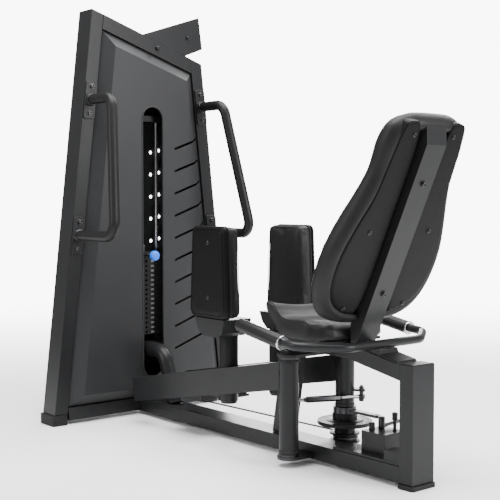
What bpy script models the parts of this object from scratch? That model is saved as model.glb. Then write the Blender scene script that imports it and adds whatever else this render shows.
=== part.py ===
"""Hip adductor and abductor machine with a pin-loaded weight stack.

Every sub-part is one named object, in metres, +Z up.  The user sits facing -X,
so "left" is -Y and "right" is +Y.  X is first written from the tower's front
face and then moved by OX, so that the origin lies under the middle of the
machine.
"""
import bpy
import bmesh
from math import cos, sin, pi, atan, atan2, radians, sqrt
from mathutils import Vector

for o in list(bpy.data.objects):
    bpy.data.objects.remove(o, do_unlink=True)

# ---------------------------------------------------------------- dimensions
OX = 0.7078          # tower front face to the middle of the machine
GAP = 0.0004         # clearance between touching sub-parts
GROOVE_GAP = 0.0011  # clearance under a cable in its wheel's groove

# tower frame (rectangular tube, leaning posts, sloping top)
POST_W = 0.0555
POST_D = 0.0963
HALF_W0 = 0.4378     # outer half width at the floor
LEAN = 0.1127        # loss of half width per metre of height
TOP_L = 1.615        # height of the left top corner
TOP_R = 1.442        # height of the right top corner
SHOE_H = 0.040
BASE_Z = 0.0143
BASE_TOP = 0.0650

# weight stack
ROD_X = -0.051
ROD_Y = 0.075
ROD_R = 0.0095
STACK_Z = 0.320
PLATE_N = 16
PLATE_P = 0.0194
PLATE_T = 0.0186
HEAD_Z = STACK_Z + PLATE_N * PLATE_P
SHELF_Z = 0.290

# hubs, arms and pads
HUB_X, HUB_Y, HUB_R = 1.008, 0.129, 0.0325
SHAFT_R = 0.016
BORE_R = 0.0166
ARM_W = 0.050
POST_X, POST_Y, POST_R = 0.675, 0.115, 0.0325
PAD_X = 0.676
PAD_BACK, PAD_SPLIT, PAD_FACE = 0.213, 0.1955, 0.138
CAM_R = 0.0440        # drum radius to the middle of the cable
DISC_R = 0.0945

# backrest: rear plane of the shells, leaning back
BK_X, BK_Z, BK_SLOPE = 1.504, 1.062, 0.4636
BK_A = atan(BK_SLOPE)

MATS = {
    "frame": (0.045, 0.046, 0.048, 0.35, 0.45), "sheet": (0.05, 0.051, 0.053, 0.3, 0.5),
    "vinyl": (0.012, 0.012, 0.012, 0.0, 0.5), "shell": (0.016, 0.016, 0.017, 0.0, 0.45),
    "chrome": (0.75, 0.75, 0.76, 1.0, 0.15), "steel": (0.35, 0.35, 0.36, 1.0, 0.35),
    "iron": (0.08, 0.08, 0.082, 0.6, 0.5), "rubber": (0.015, 0.015, 0.015, 0.0, 0.8),
    "blue": (0.12, 0.33, 0.8, 0.0, 0.35), "cable": (0.03, 0.03, 0.03, 0.0, 0.6),
    "plastic": (0.02, 0.02, 0.021, 0.0, 0.4),
}


def material(key):
    m = bpy.data.materials.get(key)
    if m:
        return m
    m = bpy.data.materials.new(key)
    m.use_nodes = True
    r, g, b, metal, rough = MATS[key]
    p = m.node_tree.nodes["Principled BSDF"]
    p.inputs["Base Color"].default_value = (r, g, b, 1.0)
    p.inputs["Metallic"].default_value = metal
    p.inputs["Roughness"].default_value = rough
    return m


# ------------------------------------------------------------ solid builders
def place(axis, u, v, w):
    """Point from in-plane coordinates u, v and height w along the axis."""
    if axis == "X":
        return Vector((w, u, v))
    if axis == "Y":
        return Vector((u, w, v))
    return Vector((u, v, w))


def skin(bm, loops, closed=False):
    """Skin a list of equal vertex loops; caps the ends unless closed."""
    rings = [[bm.verts.new(p) for p in loop] for loop in loops]
    n = len(rings[0])
    pairs = list(zip(rings, rings[1:]))
    if closed:
        pairs.append((rings[-1], rings[0]))
    for a, b in pairs:
        for i in range(n):
            j = (i + 1) % n
            bm.faces.new((a[i], a[j], b[j], b[i]))
    if not closed:
        bm.faces.new(rings[0][::-1])
        bm.faces.new(rings[-1])


def prism(bm, poly, axis, a, b):
    skin(bm, [[place(axis, u, v, w) for u, v in poly] for w in (a, b)])


def block(bm, x0, x1, y0, y1, z0, z1):
    prism(bm, [(x0, y0), (x1, y0), (x1, y1), (x0, y1)], "Z", z0, z1)


def circle(cu, cv, r, n, start=0.0):
    return [(cu + r * cos(start + 2 * pi * i / n), cv + r * sin(start + 2 * pi * i / n))
            for i in range(n)]


def cylinder(bm, cu, cv, r, axis, a, b, n=20):
    prism(bm, circle(cu, cv, r, n), axis, a, b)


def ring(bm, cu, cv, r, bore, axis, a, b, n=24):
    """Hollow cylinder, open at both ends."""
    loops = []
    for rad, w in ((bore, a), (r, a), (r, b), (bore, b)):
        loops.append([place(axis, u, v, w) for u, v in circle(cu, cv, rad, n)])
    skin(bm, loops, closed=True)


def turned(bm, cu, cv, profile, axis, n=20):
    """Solid of revolution from a list of (radius, height)."""
    skin(bm, [[place(axis, u, v, w) for u, v in circle(cu, cv, r, n)] for r, w in profile])


def rounded(poly, rad, n=4):
    """Round the corners of a convex polygon."""
    out, m = [], len(poly)
    rads = rad if isinstance(rad, (list, tuple)) else [rad] * m
    for i in range(m):
        p, q, s = Vector(poly[i - 1]), Vector(poly[i]), Vector(poly[(i + 1) % m])
        r = rads[i]
        if r <= 0:
            out.append(tuple(q))
            continue
        d1, d2 = (p - q).normalized(), (s - q).normalized()
        half = d1.angle(d2) / 2
        cut = r / max(1e-6, abs(sin(half) / cos(half)))
        a, b = q + d1 * cut, q + d2 * cut
        c = q + (d1 + d2).normalized() * (r / sin(half))
        t0, t1 = atan2(a[1] - c[1], a[0] - c[0]), atan2(b[1] - c[1], b[0] - c[0])
        while t1 - t0 > pi:
            t1 -= 2 * pi
        while t1 - t0 < -pi:
            t1 += 2 * pi
        for k in range(n + 1):
            t = t0 + (t1 - t0) * k / n
            out.append((c[0] + r * cos(t), c[1] + r * sin(t)))
    return out


def fillet(points, rad, n=5):
    """Replace the inner corners of a 3-D polyline by arcs."""
    pts = [Vector(p) for p in points]
    out = [pts[0]]
    rads = rad if isinstance(rad, (list, tuple)) else [rad] * (len(pts) - 2)
    for p, q, s, r in zip(pts, pts[1:], pts[2:], rads):
        d1, d2 = (p - q).normalized(), (s - q).normalized()
        half = d1.angle(d2) / 2
        cut = r * cos(half) / sin(half)
        c = q + (d1 + d2).normalized() * (r / sin(half))
        a, b = q + d1 * cut - c, q + d2 * cut - c
        turn = a.angle(b)
        for k in range(n + 1):
            t = k / n
            out.append(c + (a * sin((1 - t) * turn) + b * sin(t * turn)) / sin(turn))
    out.append(pts[-1])
    return out


def sweep(bm, path, r, n=12):
    """Round bar along a path, with flat ends."""
    loops, side = [], None
    for i, p in enumerate(path):
        a = path[i - 1] if i else p
        b = path[i + 1] if i + 1 < len(path) else p
        t = ((p - a).normalized() + (b - p).normalized()).normalized()
        if side is None:
            side = t.cross(Vector((0.31, 0.42, 0.85))).normalized()
        side = (side - t * side.dot(t)).normalized()
        up = t.cross(side)
        loops.append([p + side * (r * cos(2 * pi * k / n)) + up * (r * sin(2 * pi * k / n))
                      for k in range(n)])
    skin(bm, loops)


def round_off(mesh):
    """Shade round pieces smooth and keep real edges sharp."""
    mesh.shade_smooth()
    mesh.set_sharp_from_angle(angle=radians(40))


def finish(bm, name, mat, origin=None):
    """Turn a bmesh into a named object with its origin at the given point."""
    bmesh.ops.recalc_face_normals(bm, faces=bm.faces)
    o = Vector(origin) if origin else Vector((OX, 0.0, 0.0))
    for v in bm.verts:
        v.co -= o
    mesh = bpy.data.meshes.new(name)
    bm.to_mesh(mesh)
    bm.free()
    round_off(mesh)
    obj = bpy.data.objects.new(name, mesh)
    obj.location = o - Vector((OX, 0.0, 0.0))
    bpy.context.scene.collection.objects.link(obj)
    mesh.materials.append(material(mat))
    return obj


def solid(name, mat, build, origin=None):
    bm = bmesh.new()
    build(bm)
    return finish(bm, name, mat, origin)


def unite(obj, build):
    """Weld a solid, given in machine coordinates, to an object."""
    return boolean(obj, build, "UNION")


def cut(obj, build):
    """Subtract a solid, given in machine coordinates, from an object."""
    return boolean(obj, build, "DIFFERENCE")


def boolean(obj, build, operation):
    bm = bmesh.new()
    build(bm)
    tool = finish(bm, "tool", "frame")
    tool.data.materials.clear()
    mod = obj.modifiers.new("join", "BOOLEAN")
    mod.operation, mod.solver, mod.object = operation, "EXACT", tool
    bpy.context.view_layer.update()
    graph = bpy.context.evaluated_depsgraph_get()
    mesh = bpy.data.meshes.new_from_object(obj.evaluated_get(graph))
    obj.modifiers.clear()
    old, obj.data = obj.data, mesh
    mesh.name = obj.name
    round_off(mesh)
    bpy.data.meshes.remove(old)
    bpy.data.objects.remove(tool, do_unlink=True)
    return obj


# ------------------------------------------------------------- tower outline
def half(z):
    return HALF_W0 - LEAN * z


YL, YR = -half(TOP_L), half(TOP_R)
TOP_SLOPE = (TOP_L - TOP_R) / (YR - YL)


def top_line(y, drop=0.0):
    return TOP_L - TOP_SLOPE * (y - YL) - drop


def meet(side, inset, drop):
    """Where a post line (inset inwards) meets the top line (dropped)."""
    y = side * 0.25
    for _ in range(40):
        y = side * (half(top_line(y, drop)) - inset)
    return y, top_line(y, drop)


TOP_V = POST_W * sqrt(1 + TOP_SLOPE ** 2)      # vertical height of the sloping top tube


def inner_outline(inset, bottom):
    """Opening of the frame, inset on every side, as (y, z) points."""
    drop = TOP_V + inset * sqrt(1 + TOP_SLOPE ** 2)
    w = POST_W + inset
    return [(-(half(bottom) - w), bottom), (half(bottom) - w, bottom),
            meet(1, w, drop), meet(-1, w, drop)]


def build_tower_frame():
    def left(bm):
        prism(bm, [(-half(SHOE_H + GAP), SHOE_H + GAP), (-(half(SHOE_H + GAP) - POST_W), SHOE_H + GAP),
                   meet(-1, POST_W, 0), (YL, TOP_L)], "X", -POST_D, 0)

    def right(bm):
        prism(bm, [(half(SHOE_H + GAP) - POST_W, SHOE_H + GAP), (half(SHOE_H + GAP), SHOE_H + GAP),
                   (YR, TOP_R), meet(1, POST_W, 0)], "X", -POST_D, 0)

    def top(bm):
        w = POST_W + GAP
        prism(bm, [meet(-1, w, TOP_V), meet(1, w, TOP_V), meet(1, w, 0), meet(-1, w, 0)],
              "X", -POST_D, 0)

    def base(bm):
        w = POST_W + GAP
        lo, hi = half(BASE_Z) - w - 0.010, half(BASE_TOP) - w
        prism(bm, [(-lo, BASE_Z), (lo, BASE_Z), (hi, BASE_TOP), (-hi, BASE_TOP)],
              "X", -POST_D, 0)
    solid("left_post", "frame", left)
    solid("right_post", "frame", right)
    solid("top_member", "frame", top)
    solid("base_member", "frame", base)

    def wing(bm):
        lo, hi = -0.019, 0.191
        prism(bm, [(lo, top_line(lo) + GAP), (hi, top_line(hi) + GAP), (0.279, 1.504), (0.260, 1.634)],
              "X", -0.009, 0)
    plate = solid("wing_plate", "frame", wing)
    unite(plate, lambda bm: prism(bm, [(0.2713, 1.504), (0.279, 1.504), (0.2615, 1.6240),
                                       (0.2538, 1.6240)], "X", -0.060, -0.0045))
    unite(bpy.data.objects["top_member"],
          lambda bm: bolt(bm, 0.050, 1.489, 0.0100, 0.012, "X", -0.002, 12, 0.0170))
    unite(plate, lambda bm: bolt(bm, 0.202, 1.545, 0.0080, 0.010, "X", -0.002, 10, 0.0110))


def build_shoes():
    for side, s in (("left", -1), ("right", 1)):
        ys = sorted((s * (half(0.0) + 0.006), s * (half(0.0) - POST_W - 0.004)))
        poly = rounded([(-POST_D - 0.006, ys[0]), (0.006, ys[0]), (0.006, ys[1]),
                        (-POST_D - 0.006, ys[1])], 0.010, 3)
        solid(side + "_shoe", "rubber", lambda bm: prism(bm, poly, "Z", 0.0, SHOE_H))
    poly = rounded([(1.4125, -0.0545), (1.479, -0.0545), (1.479, 0.0545), (1.4125, 0.0545)], 0.010, 3)
    solid("rear_shoe", "rubber", lambda bm: prism(bm, poly, "Z", 0.0, BASE_Z - GAP))


# --------------------------------------------------------------- the covers
SLOT_Y, SLOT_R, SLOT_LO, SLOT_HI = 0.006, 0.0495, 0.200, 1.198
COVER_X = 0.029


def stadium(r, lo=SLOT_LO, hi=SLOT_HI, n=8):
    top = [(SLOT_Y + r * cos(pi * i / n), hi + r * sin(pi * i / n)) for i in range(n + 1)]
    low = [(SLOT_Y - r * cos(pi * i / n), lo - r * sin(pi * i / n)) for i in range(n + 1)]
    return top + low


def build_front_cover():
    edge = inner_outline(0.0012, BASE_TOP + 0.0012)
    fold = inner_outline(0.050, BASE_TOP + 0.045)

    def plan(poly, x):
        return [Vector((x, y, z)) for y, z in poly]

    def tray(bm):
        skin(bm, [plan(fold, COVER_X - 0.008), plan(edge, -0.018), plan(edge, -0.010),
                  plan(fold, COVER_X)])
    cover = solid("front_cover", "sheet", tray)
    cut(cover, lambda bm: prism(bm, stadium(SLOT_R), "X", -0.05, 0.05))

    def slits(bm):
        for k in range(10):
            z = 1.080 - 0.0915 * k
            a = Vector((0.115, z))
            end = half(z) - POST_W - 0.014
            b = Vector((end, z + (end - 0.115) * 0.36))
            d = (b - a).normalized()
            nrm = Vector((-d.y, d.x)) * 0.0048
            prism(bm, [tuple(a - nrm), tuple(b - nrm), tuple(b + nrm), tuple(a + nrm)],
                  "X", -0.05, 0.05)
    cut(cover, slits)
    cut(cover, lambda bm: cylinder(bm, 0.0625, 0.0800, 0.0090, "X", -0.05, 0.05, 12))


def build_rear_cover():
    back = inner_outline(-0.030, BASE_TOP - 0.020)
    cover = solid("rear_cover", "sheet",
                  lambda bm: prism(bm, back, "X", -POST_D - 0.0035, -POST_D - GAP))

    def holes(bm):
        for s in (-1, 1):
            for k in range(6):
                for y, dz in ((0.081, 0.0), (0.122, 0.009)):
                    cylinder(bm, s * y, 1.070 + dz - 0.0925 * k, 0.0075, "X", -0.2, 0.0, 8)
    cut(cover, holes)


# ---------------------------------------------------------- the weight stack
PL_X0, PL_X1, PL_Y = -0.0895, -0.0125, 0.112
TOP_P = (0.090, 1.312, 0.090)          # top pulley: y, z and cable radius
LOW_P = (0.150, 0.110, 0.030)          # lower pulley: y, z and cable radius
TURN_P = (-0.047, 0.0845, 0.024)        # turning pulley: x, y and cable radius
CABLE_R = 0.0032
PULL_X = -0.071
RUN_Z = 0.080              # height of the cable at the turning pulley
DRUM_Z = 0.060             # and at the drum


def plate_body(bm, z0, z1, x0=PL_X0, x1=PL_X1, y=PL_Y):
    prism(bm, rounded([(x0, -y), (x1, -y), (x1, y), (x0, y)], 0.006, 2), "Z", z0, z1)


def stack_holes(bm, z0, z1, rod=0.0105, centre=0.0095):
    for s in (-1, 1):
        cylinder(bm, ROD_X, s * ROD_Y, rod, "Z", z0, z1, 10)
    cylinder(bm, ROD_X, 0, centre, "Z", z0, z1, 10)


def build_stack():
    def plates(bm):
        loops = []
        for k in range(PLATE_N):
            for inset, z in ((0.0, 0.0), (0.0, PLATE_T), (0.003, PLATE_T), (0.003, PLATE_P)):
                if k == PLATE_N - 1 and inset:
                    continue
                poly = rounded([(PL_X0 + inset, -PL_Y + inset), (PL_X1 - inset, -PL_Y + inset),
                                (PL_X1 - inset, PL_Y - inset), (PL_X0 + inset, PL_Y - inset)], 0.005, 1)
                loops.append([Vector((x, y, STACK_Z + k * PLATE_P + z)) for x, y in poly])
        skin(bm, loops)
    stack = solid("weight_plates", "iron", plates)
    cut(stack, lambda bm: stack_holes(bm, STACK_Z - 0.01, HEAD_Z + 0.01))

    def pin_holes(bm):
        for k in range(PLATE_N):
            cylinder(bm, 0.0, STACK_Z + k * PLATE_P + PLATE_T / 2, 0.0055, "X", -0.048, 0.0, 8)
    cut(stack, pin_holes)
    top = (ROD_X, 0, HEAD_Z + 0.030)
    head = solid("head_plate", "iron", lambda bm: plate_body(bm, HEAD_Z, HEAD_Z + 0.030), top)
    cut(head, lambda bm: stack_holes(bm, HEAD_Z - 0.01, HEAD_Z + 0.04, 0.0105, 0.0092))
    cut(head, lambda bm: cylinder(bm, 0.0, HEAD_Z + 0.0155, 0.0062, "X", -0.0415, 0.0, 12))

    def rod(bm):
        turned(bm, ROD_X, 0, [(0.0075, STACK_Z + 0.010), (0.0080, STACK_Z + 0.014),
                              (0.0080, HEAD_Z + 0.0304), (0.0170, HEAD_Z + 0.0304),
                              (0.0170, HEAD_Z + 0.052), (0.0110, HEAD_Z + 0.060),
                              (0.0110, HEAD_Z + 0.078)], "Z", 16)
    solid("selector_rod", "chrome", rod, top)

    def pin(bm):
        turned(bm, 0.0, HEAD_Z + 0.0155, [(0.0040, -0.0405), (0.0055, -0.0385), (0.0055, 0.0290),
                                        (0.0110, 0.0290), (0.0140, 0.0330), (0.0190, 0.0400),
                                        (0.0205, 0.0480), (0.0190, 0.0560), (0.0120, 0.0620)],
               "X", 20)
    solid("selector_pin", "blue", pin, (0.0, 0.0, HEAD_Z + 0.0155))


def build_stack_supports():
    w = half(SHELF_Z) - POST_W - GAP
    lo = half(0.240) - POST_W - GAP

    def shelf(bm):
        prism(bm, [(-lo, 0.240), (lo, 0.240), (w, SHELF_Z), (-w, SHELF_Z)], "X", -0.092, -0.0190)
    s = solid("stack_shelf", "frame", shelf)
    cut(s, lambda bm: cylinder(bm, -0.0690, 0.180, 0.009, "Z", 0.20, 0.32, 12))

    for k in (-1, 1):
        unite(s, lambda bm: cylinder(bm, ROD_X, k * ROD_Y, 0.019, "Z", SHELF_Z - 0.004,
                                     STACK_Z - GAP, 20))
        cut(s, lambda bm: cylinder(bm, ROD_X, k * ROD_Y, ROD_R + GAP, "Z", SHELF_Z - 0.02, 0.34, 16))

    for side, k in (("left", -1), ("right", 1)):
        solid(side + "_guide_rod", "chrome",
              lambda bm: cylinder(bm, ROD_X, k * ROD_Y, ROD_R, "Z", SHELF_Z - 0.0195, 1.190 - GAP, 16))

    def mounts(bm):
        w = half(1.215) - POST_W - GAP
        w0 = half(1.190) - POST_W - GAP
        prism(bm, [(-w0, 1.190), (w0, 1.190), (w, 1.215), (-w, 1.215)], "X", -0.088, -0.0190)
    m = solid("rod_bracket", "frame", mounts)
    cut(m, lambda bm: cylinder(bm, ROD_X, 0.0, 0.010, "Z", 1.17, 1.23, 12))
    cut(m, lambda bm: cylinder(bm, ROD_X - 0.002, 0.180, 0.011, "Z", 1.17, 1.23, 12))

    y, z, r = TOP_P
    for x0, x1 in ((-0.0755, -0.0700), (-0.0320, -0.0265)):
        unite(m, lambda bm: prism(bm, rounded([(y - 0.022, 1.205), (y + 0.022, 1.205),
                                               (y + 0.022, z + 0.022), (y - 0.022, z + 0.022)],
                                              [0, 0, 0.015, 0.015], 3), "X", x0, x1))
    unite(m, lambda bm: cylinder(bm, y, z, 0.0060, "X", -0.0735, -0.0285, 12))


def build_low_mounts():
    """Brackets for the two lower pulleys, welded to the base member."""
    base = bpy.data.objects["base_member"]
    y, z, r = LOW_P
    unite(base, lambda bm: prism(bm, rounded([(y - 0.018, BASE_TOP - 0.01), (y + 0.018, BASE_TOP - 0.01),
                                              (y + 0.018, z + 0.018), (y - 0.018, z + 0.018)],
                                             [0, 0, 0.012, 0.012], 3), "X", -0.0905, -0.0850))
    unite(base, lambda bm: cylinder(bm, y, z, 0.0060, "X", -0.0880, -0.0590, 12))
    x, y, r = TURN_P
    unite(base, lambda bm: block(bm, x - 0.02, x + 0.02, y - 0.02, y + 0.02, BASE_TOP - 0.01, 0.0700))
    unite(base, lambda bm: cylinder(bm, x, y, 0.0060, "Z", 0.0650, 0.0930, 12))


def pulley(bm, cu, cv, r, axis, mid, half_t, n=24, bore=0.0064):
    """Grooved wheel with a plain bore; r is the radius of the cable's centre."""
    deep, rim = r - CABLE_R - GROOVE_GAP, r + 0.0030
    prof = [(bore, mid - half_t), (rim, mid - half_t), (rim, mid - CABLE_R - 0.0006),
            (deep, mid - CABLE_R - 0.0006), (deep, mid + CABLE_R + 0.0006),
            (rim, mid + CABLE_R + 0.0006), (rim, mid + half_t), (bore, mid + half_t)]
    skin(bm, [[place(axis, u, v, w) for u, v in circle(cu, cv, q, n)] for q, w in prof], closed=True)


def build_pulleys():
    y, z, r = TOP_P
    solid("top_pulley", "plastic", lambda bm: pulley(bm, y, z, r, "X", ROD_X, 0.009, 28),
          (ROD_X, y, z))
    y, z, r = LOW_P
    solid("lower_pulley", "plastic", lambda bm: pulley(bm, y, z, r, "X", PULL_X, 0.009, 20),
          (PULL_X, y, z))
    x, y, r = TURN_P
    solid("turn_pulley", "plastic", lambda bm: pulley(bm, x, y, r, "Z", RUN_Z, 0.009, 18),
          (x, y, RUN_Z))


def arc(cu, cv, r, a0, a1, n):
    return [(cu + r * cos(a0 + (a1 - a0) * k / n), cv + r * sin(a0 + (a1 - a0) * k / n))
            for k in range(n + 1)]


def build_cables():
    def lift(bm):
        cylinder(bm, ROD_X, 0.0, CABLE_R, "Z", HEAD_Z + 0.0784, TOP_P[1] - 0.0004, 8)
    solid("lift_cable", "cable", lift, (ROD_X, 0.0, TOP_P[1]))

    def drive(bm):
        y, z, r = TOP_P
        pts = [Vector((ROD_X, u, v)) for u, v in arc(y, z, r, pi, 0.0, 14)]
        y, z, r = LOW_P
        pts += [Vector((PULL_X, u, v)) for u, v in arc(y, z, r, 0.0, -pi / 2, 7)]
        x, y, r = TURN_P
        pts += [Vector((u, v, RUN_Z)) for u, v in arc(x, y, r, pi, 1.535 * pi, 6)]
        pts += [Vector((u, v, DRUM_Z)) for u, v in
                arc(HUB_X, HUB_Y, CAM_R, 0.535 * pi, -0.40 * pi, 11)]
        sweep(bm, pts, CABLE_R, 8)
    solid("drive_cable", "cable", drive)


# ------------------------------------------------------- handles on the tower
GRIP_Z = (1.262, 0.735)


def build_tower_handles():
    zt, zb = GRIP_Z
    for side, s in (("left", -1), ("right", 1)):
        yt, yb = s * (half(zt) - POST_W / 2), s * (half(zb) - POST_W / 2)
        path = fillet([(0.004, yt, zt), (0.158, yt, zt), (0.268, yb, zb), (0.004, yb, zb)],
                      [0.045, 0.045], 5)
        bar = solid(side + "_tower_handle", "rubber", lambda bm: sweep(bm, path, 0.0200, 14))
        for z in GRIP_Z:
            lo, hi = z - 0.075, z + 0.072
            w = POST_W - 0.006
            pts = [(s * (half(lo) - 0.003), lo), (s * (half(lo) - 0.003 - w), lo),
                   (s * (half(hi) - 0.003 - w), hi), (s * (half(hi) - 0.003), hi)]
            unite(bar, lambda bm: prism(bm, rounded(pts, 0.008, 2), "X", GAP, 0.0064))
            unite(bar, lambda bm: turned(bm, s * (half(z) - POST_W / 2), z,
                                         [(0.0250, 0.0050), (0.0250, 0.0125), (0.0235, 0.0145),
                                          (0.0235, 0.0205), (0.0205, 0.0222)], "X", 18))
            for dz in (-0.052, 0.052):
                unite(bar, lambda bm: bolt(bm, s * (half(z + dz) - POST_W / 2), z + dz, 0.0095, 0.011,
                                           "X", 0.0044, 10, 0.0115))


def bolt(bm, cu, cv, r, h, axis, base, n=12, washer=0.0):
    """Domed hexagon-style head standing on a surface; negative h points down the axis."""
    sgn = 1 if h > 0 else -1
    prof = []
    if washer:
        prof += [(washer, base), (washer, base + 0.0018 * sgn)]
        base += 0.0018 * sgn
    prof += [(r, base), (r, base + h * 0.6), (r * 0.6, base + h)]
    turned(bm, cu, cv, prof, axis, n)


# ------------------------------------------------------------------ the base
def build_base():
    beam = solid("main_beam", "frame",
                 lambda bm: block(bm, GAP, 1.4185 - GAP, -0.0475, 0.0475, BASE_Z, BASE_TOP))
    unite(beam, lambda bm: bolt(bm, 0.232, 0.0, 0.0100, 0.011, "Z", BASE_TOP - 0.002, 10, 0.0135))

    def neck(bm):
        path = fillet([(0.200, 0, 0.040), (0.112, 0, 0.264), (-0.0116, 0, 0.264)], [0.060], 7)
        sweep(bm, path, 0.0300, 18)
    goose = solid("gooseneck", "frame", neck)
    cut(goose, lambda bm: block(bm, 0.1, 0.3, -0.05, 0.05, 0.0, BASE_TOP + GAP))

    def post(bm):
        rows = ((0.0, BASE_Z), (0.0, 0.3785), (0.0022, 0.3808))
        skin(bm, [[Vector((x, y, z)) for x, y in
                   ((1.4185 + i, -0.0485 + i), (1.4720 - i, -0.0485 + i), (1.4720 - i, 0.0485 - i),
                    (1.4185 + i, 0.0485 - i))] for i, z in rows])
    solid("rear_post", "frame", post)

    def seat_beam(bm):
        prism(bm, [(0.850, 0.3712), (1.185, 0.3712), (1.4181, 0.3275), (1.4181, 0.3755),
                   (1.195, 0.4185), (0.850, 0.4185)], "Y", -0.0475, 0.0475)
    solid("seat_beam", "frame", seat_beam)

    def column(bm):
        prism(bm, [(0.804, BASE_TOP + GAP), (0.879, BASE_TOP + GAP), (0.932, 0.3708), (0.857, 0.3708)],
              "Y", -0.0237, 0.0237)
    solid("seat_column", "frame", column)

    x0, x1 = HUB_X - 0.038, HUB_X + 0.038
    poly = rounded([(x0, -0.167), (x1, -0.167), (x1, 0.167), (x0, 0.167)], 0.036, 6)
    bridge = solid("hub_bridge", "frame", lambda bm: prism(bm, poly, "Z", 0.3618, 0.3704))
    for s in (-1, 1):
        unite(bridge, lambda bm: bolt(bm, HUB_X, s * HUB_Y, 0.0120, 0.014, "Z", 0.3690, 12, 0.0180))
    for side, s in (("left", -1), ("right", 1)):
        shaft = solid(side + "_hub_shaft", "steel", lambda bm: turned(
            bm, HUB_X, s * HUB_Y, [(0.0340, 0.0300), (0.0340, 0.0420), (SHAFT_R, 0.0420),
                                   (SHAFT_R, 0.3545), (0.0340, 0.3545), (0.0340, 0.3614)], "Z", 24))
        foot = rounded([(x0, s * 0.0479), (x1, s * 0.0479), (x1, s * 0.167), (x0, s * 0.167)],
                       [0, 0, 0.036, 0.036], 6)
        unite(shaft, lambda bm: prism(bm, foot, "Z", 0.0240, 0.0340))


# ---------------------------------------------------------- arms and linkage
ARM_X0, ARM_X1 = 0.111, HUB_X
LEVER_Z = 0.2030       # height of the tie rod
LEVER_R = 0.0600       # hub centre to the tie rod's pins
PHASE = 0.4363         # how far the levers lag the square position when closed, radians
PIN_L = (HUB_X - LEVER_R * cos(PHASE), -HUB_Y + LEVER_R * sin(PHASE))
PIN_R = (HUB_X + LEVER_R * cos(PHASE), HUB_Y + LEVER_R * sin(PHASE))


def arm_top(x):
    return 0.343 - 0.1940 * (0.984 - x)


def build_arm(side, s):
    y0, y1 = sorted((s * (HUB_Y + ARM_W / 2), s * (HUB_Y - ARM_W / 2)))
    h = 0.0925
    piv = (HUB_X, s * HUB_Y, 0.30)

    def bar(bm):
        prism(bm, [(ARM_X0 + 0.0175, arm_top(ARM_X0 + 0.0175) - h), (ARM_X1, arm_top(ARM_X1) - h),
                   (ARM_X1, arm_top(ARM_X1)), (ARM_X0, arm_top(ARM_X0))], "Y", y0, y1)
    arm = solid(side + "_arm", "frame", bar, piv)
    cut(arm, lambda bm: cylinder(bm, HUB_X, s * HUB_Y, HUB_R + GAP, "Z", 0.1, 0.5, 32))
    cut(arm, lambda bm: cylinder(bm, POST_X, s * POST_Y, POST_R + GAP, "Z", 0.0, 0.5, 32))

    yi, yo = s * (HUB_Y - ARM_W / 2 + 0.003), s * 0.028
    unite(arm, lambda bm: prism(bm, rounded([(0.330, yi), (0.520, yi), (0.520, yo), (0.330, yo)],
                                            [0, 0, 0.030, 0.030], 5), "Z", 0.1310, 0.1390))
    a, b = sorted((yi, yi - s * 0.008))
    unite(arm, lambda bm: prism(bm, [(0.345, 0.1350), (0.505, 0.1350), (0.505, 0.215),
                                     (0.345, 0.190)], "Y", a, b))

    post = solid(side + "_pad_post", "frame",
                 lambda bm: ring(bm, POST_X, s * POST_Y, POST_R, 0.0246, "Z", 0.1640, 0.4000, 24), piv)
    unite(post, lambda bm: turned(bm, POST_X, s * POST_Y, [(0.0200, 0.1560), (0.0290, 0.1590),
                                                           (0.0290, 0.1700)], "Z", 20))


def lever(bm, s, pin, z0, z1):
    """Tab from the hub wall out to the tie rod's pin."""
    c = Vector((HUB_X, s * HUB_Y))
    p = Vector(pin)
    d = (p - c).normalized()
    nrm = Vector((-d.y, d.x)) * 0.013
    a = c + d * (HUB_R - 0.004)
    b = p + d * 0.013
    prism(bm, rounded([tuple(a - nrm), tuple(b - nrm), tuple(b + nrm), tuple(a + nrm)],
                      [0, 0.012, 0.012, 0], 3), "Z", z0, z1)


def build_hub(side, s, z0, pin):
    piv = (HUB_X, s * HUB_Y, 0.30)

    def tube(bm):
        ring(bm, HUB_X, s * HUB_Y, HUB_R, BORE_R, "Z", z0, 0.3541, 32)
    hub = solid(side + "_hub", "frame", tube, piv)

    def tabs(bm):
        lever(bm, s, pin, LEVER_Z + 0.0185, LEVER_Z + 0.0265)
    unite(hub, tabs)
    cut(hub, lambda bm: cylinder(bm, pin[0], pin[1], 0.0056, "Z", 0.15, 0.28, 12))


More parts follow.
